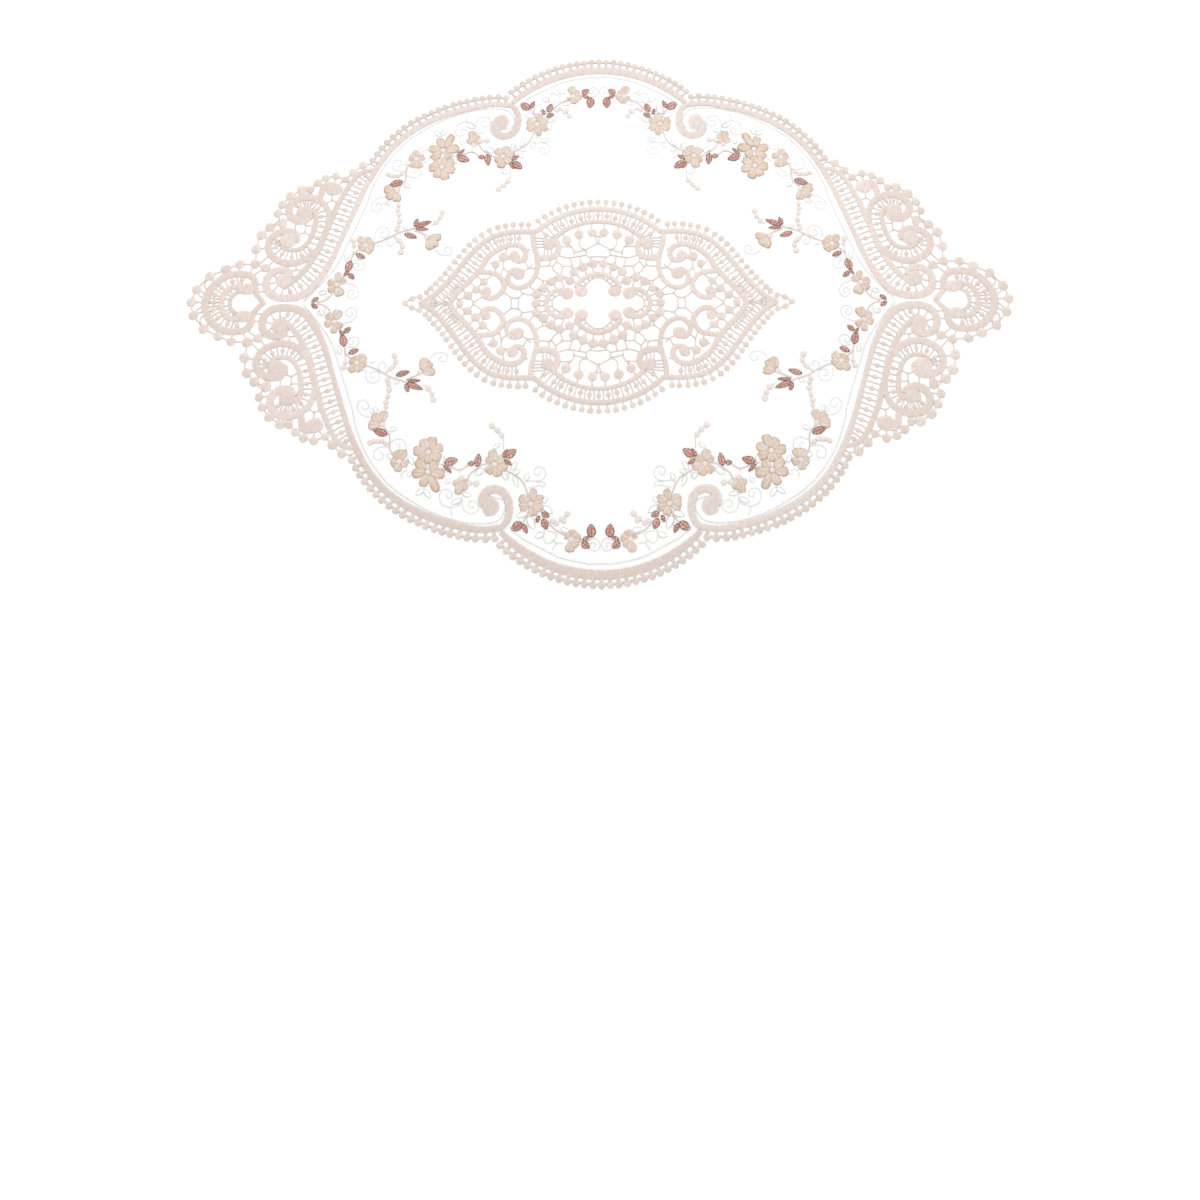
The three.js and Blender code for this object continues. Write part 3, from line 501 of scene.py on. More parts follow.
# A leaf is this much slimmer than its outline, whose stitches are given by length and share
LEAF_INSET = 0.12
LEAF_EDGE_STITCH = (1.5, 0.72)
LEAF_EDGE_RADIUS = 0.23
LEAF_EDGE_RISE = 0.08
VEIN_STITCH = (1.5, 0.7)
VEIN_RADIUS = 0.18
VEIN_SHARE = 0.86
WHITE_EDGE_OFFSET = 0.05
WHITE_EDGE_RADIUS = 0.14
# A white leaf, a vein and a flower's middle lie this far below the petals or leaves
LOWER = 0.1
# Each strand of a stem: how far it lies from the stem's middle, and its radius
STRAND_OFFSET = 0.14
STRAND_RADIUS = 0.17
# A sprig's thread, as a share of a tendril's thickness, and how high its beads stand
SPRIG_SHARE = 1.1
BEAD_HEIGHT = 0.6
FINE_THREAD = {"step": 0.8, "sides": 5}


def smooth_line(points, step=LINE_STEP):
    """Points about step apart along a smooth curve through the given points."""
    p = np.asarray(points, float)
    if len(p) == 2:
        ends = np.vstack([2 * p[0] - p[1], p, 2 * p[1] - p[0]])
    elif np.allclose(p[0], p[-1]):
        ends = np.vstack([p[-2], p, p[1]])
    else:
        ends = np.vstack([2 * p[0] - p[1], p, 2 * p[-1] - p[-2]])
    t = np.linspace(0, 1, CURVE_SAMPLES, endpoint=False)[:, None]
    runs = []
    for a, b, c, d in zip(ends, ends[1:], ends[2:], ends[3:]):
        bend = 2 * a - 5 * b + 4 * c - d
        turn = 3 * b - a - 3 * c + d
        runs.append(0.5 * (2 * b + (c - a) * t + bend * t**2 + turn * t**3))
    dense = np.vstack(runs + [p[-1:]])
    along = lengths_along(dense)
    marks = np.linspace(0, along[-1], max(2, round(along[-1] / step) + 1))
    return np.column_stack([np.interp(marks, along, dense[:, k]) for k in (0, 1)])


def lengths_along(line):
    """How far each point lies along the line."""
    gaps = np.linalg.norm(np.diff(line, axis=0), axis=1)
    return np.concatenate([[0], np.cumsum(gaps)])


def part_of_line(line, start, end, step=LINE_STEP):
    """The stretch of a line between two shares of its length."""
    along = lengths_along(line)
    whole = along[-1]
    marks = np.linspace(start * whole, end * whole, round((end - start) * whole / step) + 1)
    return np.column_stack([np.interp(marks, along, line[:, k]) for k in (0, 1)])


def directions(line, closed=False):
    """Unit vectors along the line at each of its points."""
    ahead = np.gradient(line, axis=0)
    if closed:
        ahead[0] = ahead[-1] = line[1] - line[-2]
    return ahead / np.maximum(np.linalg.norm(ahead, axis=1)[:, None], 1e-9)


def sideways(ahead):
    """The vectors a quarter turn to the left of these."""
    return np.column_stack([-ahead[:, 1], ahead[:, 0]])


def arc(centre_y, radius, start, end, step_angle):
    """Points on a circle about (0, centre_y), by the angle from the Y axis in degrees."""
    angles = np.radians(np.linspace(start, end, max(2, round((end - start) / step_angle) + 1)))
    return np.column_stack([radius * np.sin(angles), centre_y + radius * np.cos(angles)])


# How the mat lies, a little off its even design: its middle is shifted, it is pulled in across,
# and it bows with the square of the way. Millimetres along X and Y, per 100 mm of the way
MIDDLE_SHIFT = (-0.6, -1.2)
CROSSWISE_PULL = (0.0, -0.4)
LENGTHWISE_BOW = (0.2, 0.3)
CROSSWISE_BOW = (0.5, 0.3)


def settle(points):
    """The places of these points once the cloth is laid by hand."""
    p = np.asarray(points, float)
    x, y = p[..., :1] / 100, p[..., 1:] / 100
    return p + MIDDLE_SHIFT + y * CROSSWISE_PULL + x**2 * LENGTHWISE_BOW + y**2 * CROSSWISE_BOW


def laid_path(line, step):
    """The laid line's points, the vectors to its left, and whether it is a closed ring."""
    closed = np.allclose(line[0], line[-1])
    path = settle(smooth_line(line, step))
    if closed:
        path = path[:-1]
        ahead = directions(np.vstack([path, path[:1]]), closed)[:-1]
    else:
        ahead = directions(path)
    return path, sideways(ahead), closed


def lines_in(points, quarters):
    """The line in each of these quarters, where halves that meet on an axis are one line."""
    line = np.array(points, float)
    for axis, mirrored in ((1, (1, -1)), (0, (-1, 1))):
        on_axis = np.abs(line[:, axis]) < ON_AXIS
        if on_axis[-1] and not on_axis.all():
            line = np.vstack([line, line[-2::-1] * mirrored])
        elif on_axis[0] and not on_axis.all():
            line = np.vstack([line[:0:-1] * mirrored, line])
        if on_axis[-1] or on_axis[0]:
            quarters = [q for q in quarters if q[axis] > 0]
    return [line * q for q in quarters]


def spots_in(x, y, quarters):
    """A point in each of these quarters, once where it lies on an axis."""
    for across, along in quarters:
        twice_across = abs(x) < ON_AXIS and across < 0 and (1, along) in quarters
        twice_along = abs(y) < ON_AXIS and along < 0 and (across, 1) in quarters
        if not (twice_across or twice_along):
            yield x * across, y * along


def deselect_all():
    for chosen in list(bpy.context.selected_objects):
        chosen.select_set(False)


def model_dot():
    """The padded dot that balls, picots, beads and discs are copies of: a flat-bottomed dome."""
    deselect_all()
    bpy.ops.mesh.primitive_uv_sphere_add(segments=12, ring_count=8, radius=1)
    dot = bpy.context.object
    bpy.ops.object.mode_set(mode="EDIT")
    bpy.ops.mesh.select_all(action="SELECT")
    bpy.ops.mesh.bisect(plane_co=(0, 0, 0), plane_no=(0, 0, 1), clear_inner=True, use_fill=True)
    bpy.ops.object.mode_set(mode="OBJECT")
    for vertex in dot.data.vertices:
        spread = math.hypot(vertex.co.x, vertex.co.y)
        vertex.co.z = (1 - min(spread, 1) ** 6) ** 0.6
    points = np.array([v.co for v in dot.data.vertices])
    faces = [list(p.vertices) for p in dot.data.polygons]
    bpy.data.objects.remove(dot)
    return in_fixed_order(points, faces)


def in_fixed_order(points, faces):
    """The same points and faces by their places, because a bisect leaves them in any order."""
    order = sorted(range(len(points)), key=lambda i: tuple(points[i].round(4)))
    rank = {old: new for new, old in enumerate(order)}
    moved = []
    for face in faces:
        ranks = [rank[i] for i in face]
        start = ranks.index(min(ranks))
        moved.append(ranks[start:] + ranks[:start])
    return points[order], sorted(moved)


# Section of a satin band: place across it and height, both as shares, from edge to edge
BAND_SECTION = np.array([
    (-1.0, 0.32), (-0.93, 0.76), (-0.76, 0.95), (0.0, 1.0), (0.76, 0.95), (0.93, 0.76), (1.0, 0.32),
    (0.94, 0.0), (-0.94, 0.0),
])
# Every other rib of a band is wider and higher, and each of them wanders at random
RIB_SPREAD = 0.13
RIB_RISE = 0.05
RIB_STEP = 0.5
RIB_WIDTH_WANDER = 0.08
RIB_HEIGHT_WANDER = 0.015
# Every other step of a thread is thicker by this share
THREAD_TWIST = 0.09
# Rays of a petal from its foot, the angle of its outermost ones, and that which its tip takes up
PETAL_RAYS = 11
PETAL_FAN = 78
PETAL_TIP_FAN = 16
PETAL_WANDER = 0.018
PETAL_GROOVE = 0.10
# Rings of a petal: share of the way from foot to edge, and height as a share
PETAL_RINGS = ((0.3, 0.75), (0.62, 1.0), (0.88, 0.86), (1.0, 0.0))
LEAF_ROWS = 7
# Section of a leaf: place across it and height, both as shares, with the vein sunk in the middle
LEAF_SECTION = np.array([(-1, 0), (-0.55, 1), (0, 0.55), (0.55, 0.9), (1, 0)])
# Share of a leaf's length that stays open at its foot
LEAF_GAP = 0.08


class Needlework:
    """Small closed shapes, in millimetres, that become one mesh."""

    def __init__(self, seed):
        self.chance = np.random.default_rng(seed)
        self.points = []
        self.quads = []
        self.others = []
        self.lay = []
        self.crest = []
        self.shade = []
        self.count = 0

    def add(self, points, quads, others, lay, crest):
        self.points.append(points)
        if len(quads):
            self.quads.append(np.asarray(quads) + self.count)
        self.others += [[i + self.count for i in face] for face in others]
        self.lay.append(lay)
        self.crest.append(np.broadcast_to(crest, len(points)))
        self.shade.append(np.full(len(points), self.chance.uniform(0, 1)))
        self.count += len(points)

    def rings(self, rings, lay, crest, closed):
        """A tube of rings of points, with ends unless it is closed."""
        count, around = rings.shape[:2]
        i = np.arange(count if closed else count - 1)[:, None]
        j = np.arange(around)[None, :]
        after = (i + 1) % count * around
        here = i * around
        onward = (j + 1) % around
        quads = np.stack([here + j, after + j, after + onward, here + onward], -1).reshape(-1, 4)
        last = (count - 1) * around
        ends = [] if closed else [list(range(around)), [last + k for k in reversed(range(around))]]
        self.add(rings.reshape(-1, 3), quads, ends, lay.reshape(-1, 2), crest.ravel())

    def sweep(self, laid, across, level, crest):
        """A tube along a laid path, from the places across it and the heights of each ring."""
        path, side, closed = laid
        flat = path[:, None] + side[:, None] * across[..., None]
        rings = np.concatenate([flat, level[..., None]], -1)
        along = np.broadcast_to(lengths_along(path)[:, None], across.shape)
        self.rings(rings, np.stack([along, across], -1), np.broadcast_to(crest, across.shape), closed)

    def band(self, line, widths, height):
        """A ribbed satin band, with its threads across it."""
        laid = laid_path(line, RIB_STEP)
        count = len(laid[0])
        rib = np.where(np.arange(count) % 2, 1.0, -1.0)
        wide = np.interp(np.linspace(0, 1, count), np.linspace(0, 1, len(widths)), widths)
        wide = wide + RIB_SPREAD * rib + self.chance.normal(0, RIB_WIDTH_WANDER, count)
        tall = height + RIB_RISE * rib + self.chance.normal(0, RIB_HEIGHT_WANDER, count) - LOW
        across = wide[:, None] * BAND_SECTION[:, 0]
        level = LOW + tall[:, None] * BAND_SECTION[:, 1]
        # The section's height share is the crest that paints shade or painted light on the band's low
        # sides
        self.sweep(laid, across, level, BAND_SECTION[:, 1])

    def thread(self, line, radius, level, step=0.9, sides=6, flatness=0.6):
        """A thin thread, flattened a little, with a twist that makes it uneven."""
        laid = laid_path(line, step)
        thick = radius * (1 + THREAD_TWIST * np.where(np.arange(len(laid[0])) % 2, 1.0, -1.0))
        angles = -np.linspace(0, 2 * math.pi, sides, endpoint=False)
        across = thick[:, None] * np.cos(angles)
        rise = level + thick[:, None] * np.sin(angles) * flatness
        # The crest, by height round the thread, paints shade or painted light on its underside
        self.sweep(laid, across, rise, 0.75 + 0.25 * np.sin(angles))

    def dot(self, shape, x, y, half_length, half_height, height, low=LOW, turn=0.0):
        """A padded dot or disc at (x, y)."""
        points, faces = shape
        angle = np.arctan2(points[:, 1], points[:, 0])
        spread = np.hypot(points[:, 0], points[:, 1])
        lobes = self.chance.uniform(0, 2 * math.pi, 2)
        uneven = 1 + 0.035 * np.sin(3 * angle + lobes[0]) + 0.025 * np.sin(5 * angle + lobes[1])
        flat = points[:, :2] * uneven[:, None] * (half_length, half_height)
        cos, sin = math.cos(turn), math.sin(turn)
        turned = flat @ np.array([[cos, sin], [-sin, cos]])
        placed = settle((x, y)) + turned
        level = low + points[:, 2:] * (height - low)
        # The crest, low at the dot's edge, paints shade or painted light there
        self.add(np.hstack([placed, level]), [], faces, flat, 1 - spread**16)

    def ball(self, shape, x, y, radius, height, roundness):
        """A padded ball of a slightly uneven size, turned at random."""
        size = radius * self.chance.uniform(*BALL_SIZES)
        self.dot(shape, x, y, size, size * roundness, height, turn=self.chance.uniform(0, BALL_TURN))

    def petal(self, foot, tip, half_width, height, point):
        """A satin petal from its foot to its tip, with threads that fan out from the foot."""
        foot = settle(foot)
        reach = settle(tip) - foot
        length = np.linalg.norm(reach)
        ahead = reach / length
        side = np.array([-ahead[1], ahead[0]])
        angles = np.radians(np.linspace(-PETAL_FAN, PETAL_FAN, PETAL_RAYS))
        tip_shape = np.exp(-((angles / math.radians(PETAL_TIP_FAN)) ** 2))
        along = length * np.cos(angles) ** 1.25 * (1 + (point - 0.06) * tip_shape)
        across = half_width * np.sin(2 * angles)
        uneven = 1 + self.chance.normal(0, PETAL_WANDER, PETAL_RAYS)
        share = np.array(PETAL_RINGS)[:, None, 0]
        rise = np.array(PETAL_RINGS)[:, None, 1]
        edge = 1 - np.abs(np.linspace(-1, 1, PETAL_RAYS)) ** 7
        groove = 1 - PETAL_GROOVE * (np.arange(PETAL_RAYS) % 2)
        u = share * along * uneven
        v = share * across * uneven
        z = STITCH_LOW + (height - STITCH_LOW) * rise * edge * groove
        flat = foot + u[..., None] * ahead + v[..., None] * side
        points = np.concatenate([flat, np.broadcast_to(z, u.shape)[..., None]], -1).reshape(-1, 3)
        points = np.vstack([points, [[*foot, STITCH_LOW]]])
        rays = PETAL_RAYS
        quads = []
        for ring in range(len(PETAL_RINGS) - 1):
            for ray in range(rays - 1):
                a = ring * rays + ray
                quads.append((a, a + rays, a + rays + 1, a + 1))
        hub = len(points) - 1
        fans = [(hub, ray, ray + 1) for ray in range(rays - 1)]
        outer = (len(PETAL_RINGS) - 1) * rays
        left = [ring * rays for ring in range(len(PETAL_RINGS))]
        right = [ring * rays + rays - 1 for ring in reversed(range(len(PETAL_RINGS) - 1))]
        below = [hub] + right[::-1] + list(reversed(range(outer, outer + rays))) + left[::-1][1:]
        lay = np.stack([np.broadcast_to(angles * half_width, u.shape), u], -1).reshape(-1, 2)
        lay = np.vstack([lay, [[0, 0]]])
        crest = np.append(np.broadcast_to(share, u.shape).ravel(), 0)
        self.add(points, quads, fans + [below], lay, crest)

    def leaf(self, foot, tip, half_width, height):
        """A satin leaf of two halves, with slanting threads and a sunk vein."""
        foot = settle(foot)
        reach = settle(tip) - foot
        length = np.linalg.norm(reach)
        ahead = reach / length
        side = np.array([-ahead[1], ahead[0]])
        share = np.linspace(0, 1, LEAF_ROWS + 2)[1:-1]
        wide = leaf_width(share, half_width)
        place, rise = LEAF_SECTION.T
        columns = len(place)
        u = np.broadcast_to((share * length)[:, None], (LEAF_ROWS, columns))
        v = wide[:, None] * place
        z = STITCH_LOW + (height - STITCH_LOW) * rise * (wide / half_width)[:, None] ** 0.4
        flat = foot + u[..., None] * ahead + v[..., None] * side
        points = np.concatenate([flat, z[..., None]], -1).reshape(-1, 3)
        points = np.vstack([points, [[*foot, STITCH_LOW]], [[*(foot + reach), STITCH_LOW]]])
        quads = []
        for row in range(LEAF_ROWS - 1):
            for column in range(columns - 1):
                a = row * columns + column
                quads.append((a, a + columns, a + columns + 1, a + 1))
        first, last = len(points) - 2, len(points) - 1
        end = (LEAF_ROWS - 1) * columns
        fans = [(first, column, column + 1) for column in range(columns - 1)]
        fans += [(end + column, last, end + column + 1) for column in range(columns - 1)]
        left = [row * columns for row in range(LEAF_ROWS)]
        right = [start + columns - 1 for start in left]
        below = [first] + right + [last] + left[::-1]
        lay = np.stack([u + 0.7 * np.abs(v), v], -1).reshape(-1, 2)
        lay = np.vstack([lay, [[0, 0], [length, 0]]])
        crest = np.append(np.broadcast_to(np.abs(place), u.shape).ravel(), (1, 1))
        self.add(points, quads, fans + [below], lay, crest)

    def finish(self, name, material, nodes=()):
        """One object of all the shapes, riding on the mat and standing for these nodes."""
        mesh = bpy.data.meshes.new(name)
        faces = np.vstack(self.quads).tolist() if self.quads else []
        mesh.from_pydata((np.vstack(self.points) * MM).tolist(), [], faces + self.others)
        corner = np.empty(len(mesh.loops), np.int32)
        mesh.loops.foreach_get("vertex_index", corner)
        lay = np.vstack(self.lay)[corner].astype(np.float32)
        mesh.uv_layers.new(name=UV_STITCH).uv.foreach_set("vector", lay.ravel())
        for label, values in ((CREST, self.crest), (SHADE, self.shade)):
            layer = mesh.attributes.new(label, "FLOAT", "POINT")
            layer.data.foreach_set("value", np.concatenate(values).astype(np.float32))
        mesh.polygons.foreach_set("use_smooth", np.ones(len(mesh.polygons), bool))
        mesh.materials.append(material)
        piece = bpy.data.objects.new(name, mesh)
        bpy.context.scene.collection.objects.link(piece)
        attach(piece, "root")
        if nodes:
            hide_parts(*nodes)
        return piece


def leaf_width(share, half_width):
    """Half the width of a leaf at a share of its length."""
    return half_width * np.maximum(np.sin(math.pi * share**0.8), 0) ** 0.85


def leaf_outline(foot, tip, half_width):
    """Points round a leaf's edge, from its foot and back to it."""
    foot = np.asarray(foot, float)
    reach = tip - foot
    ahead = reach / np.linalg.norm(reach)
    share = np.linspace(0, 1, 8)
    spine = foot + np.outer(share, reach)
    edge = np.outer(leaf_width(share, half_width), (-ahead[1], ahead[0]))
    return np.vstack([spine + edge, (spine - edge)[-2::-1]])


def dashes(points, length, share):
    """Stitches of about this length along a line, each the given share of its place."""
    path = smooth_line(points, LINE_STEP / 2)
    count = max(2, round(lengths_along(path)[-1] / length))
    starts = range(count)
    return [part_of_line(path, at / count, (at + share) / count, STITCH_STEP) for at in starts]


def on_side(line, offset):
    """The line moved to its left by offset, in millimetres."""
    return line + sideways(directions(line)) * offset


def disc_edge(disc):
    """Points round a disc given as x, y, half length and half height."""
    angles = np.linspace(0, 2 * math.pi, 24, endpoint=False)
    return np.array(disc[:2]) + np.column_stack([disc[2] * np.cos(angles), disc[3] * np.sin(angles)])


def nearest(line, point):
    """The point of the line that is nearest to this one."""
    gaps = np.linalg.norm(np.asarray(line) - point, axis=1)
    return line[int(np.argmin(gaps))]


def bar_across(point, one_side, other_side):
    """A bar through the point that ties the nearest place on each side."""
    return [nearest(one_side, point), np.asarray(point, float), nearest(other_side, point)]


def ladder_bars(dots, one_side, other_side):
    """A bar that holds each dot of a ladder, and one halfway to the next dot."""
    bars = [bar_across(dot, one_side, other_side) for dot in dots]
    for here, after in zip(np.asarray(dots, float), np.asarray(dots[1:], float)):
        bars.append(bar_across((here + after) / 2, one_side, other_side))
    return bars


def medallion_outline():
    """The middle of the medallion's outer band in one quarter: its lobe, then its side."""
    lobe = arc(MEDALLION_LOBE_CENTRE_Y, MEDALLION_LOBE_RADIUS, 0, MEDALLION_LOBE_END_ANGLE, 1)
    return lobe, smooth_line(MEDALLION_SIDE)


def maths(tree, operation, *values):
    """A maths node, with numbers or sockets as its values."""
    node = tree.nodes.new("ShaderNodeMath")
    node.operation = operation
    for place, value in enumerate(values):
        if isinstance(value, bpy.types.NodeSocket):
            tree.links.new(value, node.inputs[place])
        else:
            node.inputs[place].default_value = value
    return node.outputs[0]


def noise(tree, vector, scale, detail=2.0):
    """A noise from 0 to 1 over this vector."""
    node = tree.nodes.new("ShaderNodeTexNoise")
    node.inputs["Scale"].default_value = scale
    node.inputs["Detail"].default_value = detail
    tree.links.new(vector, node.inputs["Vector"])
    return node.outputs[0]


def stretched(tree, vector, factors):
    """The vector with each of its parts multiplied."""
    node = tree.nodes.new("ShaderNodeVectorMath")
    node.operation = "MULTIPLY"
    node.inputs[1].default_value = factors
    tree.links.new(vector, node.inputs[0])
    return node.outputs[0]


def new_group(name, numbers, outputs):
    """An empty shader node group with a vector and these numbers going in."""
    group = bpy.data.node_groups.new(name, "ShaderNodeTree")
    group.interface.new_socket("Vector", in_out="INPUT", socket_type="NodeSocketVector")
    for label, default in numbers:
        socket = group.interface.new_socket(label, in_out="INPUT", socket_type="NodeSocketFloat")
        socket.default_value = default
    for label in outputs:
        group.interface.new_socket(label, in_out="OUTPUT", socket_type="NodeSocketFloat")
    return group, group.nodes.new("NodeGroupInput"), group.nodes.new("NodeGroupOutput")


def laid_thread_group():
    """Threads laid side by side: a tone for each thread and how high its surface is."""
    name = "laid_thread"
    if name in bpy.data.node_groups:
        return bpy.data.node_groups[name]
    group, given, result = new_group(name, (("Pitch", 0.45), ("Wander", 0.3)), ("Tone", "Relief"))
    vector = given.outputs["Vector"]
    parts = group.nodes.new("ShaderNodeSeparateXYZ")
    group.links.new(vector, parts.inputs[0])
    drift = noise(group, stretched(group, vector, (0.35, 0.9, 1)), 1.0)
    drift = maths(group, "SUBTRACT", drift, 0.5)
    place = maths(group, "MULTIPLY_ADD", drift, given.outputs["Wander"], parts.outputs[0])
    turns = maths(group, "DIVIDE", place, given.outputs["Pitch"])
    wave = maths(group, "SINE", maths(group, "MULTIPLY", turns, 2 * math.pi))
    relief = maths(group, "MULTIPLY_ADD", wave, 0.5, 0.5)
    strand = group.nodes.new("ShaderNodeCombineXYZ")
    group.links.new(turns, strand.inputs[0])
    group.links.new(maths(group, "MULTIPLY", parts.outputs[1], 0.22), strand.inputs[1])
    group.links.new(noise(group, strand.outputs[0], 0.9, 3.0), result.inputs["Tone"])
    group.links.new(relief, result.inputs["Relief"])
    return group


def plain_weave_group():
    """Plain weave of fine threads: where thread covers the gaps, and how high it is."""
    name = "plain_weave"
    if name in bpy.data.node_groups:
        return bpy.data.node_groups[name]
    group, given, result = new_group(name, (("Pitch", 0.5),), ("Cover", "Relief"))
    parts = group.nodes.new("ShaderNodeSeparateXYZ")
    group.links.new(given.outputs["Vector"], parts.inputs[0])
    waves = []
    for axis in (0, 1):
        turns = maths(group, "DIVIDE", parts.outputs[axis], given.outputs["Pitch"])
        wave = maths(group, "SINE", maths(group, "MULTIPLY", turns, 2 * math.pi))
        waves.append(maths(group, "MULTIPLY_ADD", wave, 0.5, 0.5))
    group.links.new(maths(group, "MAXIMUM", *waves), result.inputs["Relief"])
    gaps = [maths(group, "SUBTRACT", 1.0, wave) for wave in waves]
    both = maths(group, "MULTIPLY", *gaps)
    slubs = noise(group, stretched(group, given.outputs["Vector"], (0.08, 1.1, 1)), 1.0)
    cover = maths(group, "MULTIPLY_ADD", slubs, 0.25, maths(group, "SUBTRACT", 0.9, both))
    group.links.new(cover, result.inputs["Cover"])
    return group


def placed_group(material, group, vector, **values):
    """A node group in a material, with these values on its inputs."""
    node = material.node_tree.nodes.new("ShaderNodeGroup")
    node.node_tree = group
    material.node_tree.links.new(vector, node.inputs["Vector"])
    for label, value in values.items():
        node.inputs[label].default_value = value
    return node


def read_attribute(tree, name):
    node = tree.nodes.new("ShaderNodeAttribute")
    node.attribute_type = "GEOMETRY"
    node.attribute_name = name
    return node.outputs["Fac"]


def blended(tree, factor, low, high):
    """A colour between two, where each is a plain colour or a socket."""
    node = tree.nodes.new("ShaderNodeMix")
    node.data_type = "RGBA"
    tree.links.new(factor, node.inputs["Factor"])
    for label, value in (("A", low), ("B", high)):
        socket = next(s for s in node.inputs if s.name == label and s.type == "RGBA")
        if isinstance(value, bpy.types.NodeSocket):
            tree.links.new(value, socket)
        else:
            socket.default_value = (*value, 1)
    return next(s for s in node.outputs if s.type == "RGBA")


def darker(colour, share):
    return tuple(part * share for part in colour)


def new_material(name, roughness, sheen=0.0):
    """A plain cloth-like material, and its shader."""
    material = bpy.data.materials.new(name)
    material.use_nodes = True
    shader = material.node_tree.nodes["Principled BSDF"]
    shader.inputs["Roughness"].default_value = roughness
    shader.inputs["Specular IOR Level"].default_value = 0.25
    shader.inputs["Sheen Weight"].default_value = sheen
    shader.inputs["Sheen Roughness"].default_value = 0.4
    return material, shader


def bumped(tree, shader, height, strength, distance):
    """Relief on a shader from a height, with its depth in millimetres."""
    bump = tree.nodes.new("ShaderNodeBump")
    bump.inputs["Strength"].default_value = strength
    bump.inputs["Distance"].default_value = distance * MM
    tree.links.new(height, bump.inputs["Height"])
    tree.links.new(bump.outputs[0], shader.inputs["Normal"])


def thread_material(name, deep, pale, pitch=0.45, crest=0.5, tone=0.5, shade=0.25):
    """Stitching thread between two colours, by its crest, by each thread's tone and by its shape. Where
    the crest is a height, a positive crest weight paints shade on low sides and undersides, and a
    negative one paints them paler as painted light.
    """
    if name in bpy.data.materials:
        return bpy.data.materials[name]
    material, shader = new_material(name, 0.5, 0.15)
    tree = material.node_tree
    lay = tree.nodes.new("ShaderNodeUVMap")
    lay.uv_map = UV_STITCH
    threads = placed_group(material, laid_thread_group(), lay.outputs["UV"], Pitch=pitch)
    # Painted shade or painted light by height: with a positive crest weight, low sides, dot edges and
    # thread undersides take the deep colour, and with a negative one the pale colour; on petals and
    # leaves the crest is a colour ramp instead
    total = maths(tree, "MULTIPLY_ADD", read_attribute(tree, CREST), crest, 0.5 - crest * 0.6)
    for value, weight in ((threads.outputs["Tone"], tone), (read_attribute(tree, SHADE), shade)):
        swing = maths(tree, "MULTIPLY", maths(tree, "SUBTRACT", value, 0.5), weight)
        total = maths(tree, "ADD", total, swing)
    factor = maths(tree, "MINIMUM", maths(tree, "MAXIMUM", total, 0.0), 1.0)
    tree.links.new(blended(tree, factor, deep, pale), shader.inputs["Base Color"])
    rough = maths(tree, "MULTIPLY_ADD", threads.outputs["Tone"], 0.25, 0.38)
    tree.links.new(rough, shader.inputs["Roughness"])
    bumped(tree, shader, threads.outputs["Relief"], 0.5, 0.12)
    return material


def sheer_material(colour, cover):
    """Sheer plain-woven cloth that shows what lies under it."""
    name = "sheer_white_cloth"
    if name in bpy.data.materials:
        return bpy.data.materials[name]
    material, shader = new_material(name, 0.6, 0.3)
    tree = material.node_tree
    lay = tree.nodes.new("ShaderNodeUVMap")
    lay.uv_map = UV_STITCH
    weave = placed_group(material, plain_weave_group(), lay.outputs["UV"], Pitch=0.55)
    seen = maths(tree, "MULTIPLY", weave.outputs["Cover"], cover)
    tree.links.new(seen, shader.inputs["Alpha"])
    cloudy = noise(tree, stretched(tree, lay.outputs["UV"], (0.05, 0.05, 1)), 1.0)
    tree.links.new(blended(tree, cloudy, darker(colour, 0.94), colour), shader.inputs["Base Color"])
    bumped(tree, shader, weave.outputs["Relief"], 0.4, 0.08)
    return material


def satin_material():
    top, side = colours().satin_top, colours().satin_pale_and_painted_light
    # Crest -1: the rim's tops take the top colour, and its low sides, dot edges and thread undersides
    # are painted paler, painted light against their shade
    return thread_material("satin_beige_thread", top, side, pitch=0.85, crest=-1.0, tone=1.3)


def lace_material():
    top, side = colours().lace_top, colours().lace_pale_and_painted_light
    # Crest -1: the lace's tops take the top colour, and its low sides, dot edges and net thread
    # undersides are painted paler, painted light against their shade
    return thread_material("lace_beige_thread", top, side, pitch=0.85, crest=-1.0, tone=1.3)


class PlacematSizes(PropertyGroup):
    """Heights of the mat's parts above the table"""
    rim_height: FloatProperty(
        name="Rim height", description="Top of the satin rim", default=0.6 * MM, unit="LENGTH")
    lace_height: FloatProperty(
        name="Lace height", description="Top of the bands of the lace", default=0.6 * MM, unit="LENGTH")
    ball_height: FloatProperty(
        name="Ball height", description="Top of the balls of the lace", default=0.75 * MM, unit="LENGTH")
    petal_height: FloatProperty(
        name="Petal height", description="Top of the petals", default=0.56 * MM, unit="LENGTH")
    leaf_height: FloatProperty(
        name="Leaf height", description="Top of the leaves", default=0.5 * MM, unit="LENGTH")
    net_thread: FloatProperty(
        name="Net thread", description="Thickness of the lace's net threads",
        default=0.64 * MM, unit="LENGTH")
    tendril: FloatProperty(
        name="Tendril", description="Thickness of the tendrils", default=0.36 * MM, unit="LENGTH")


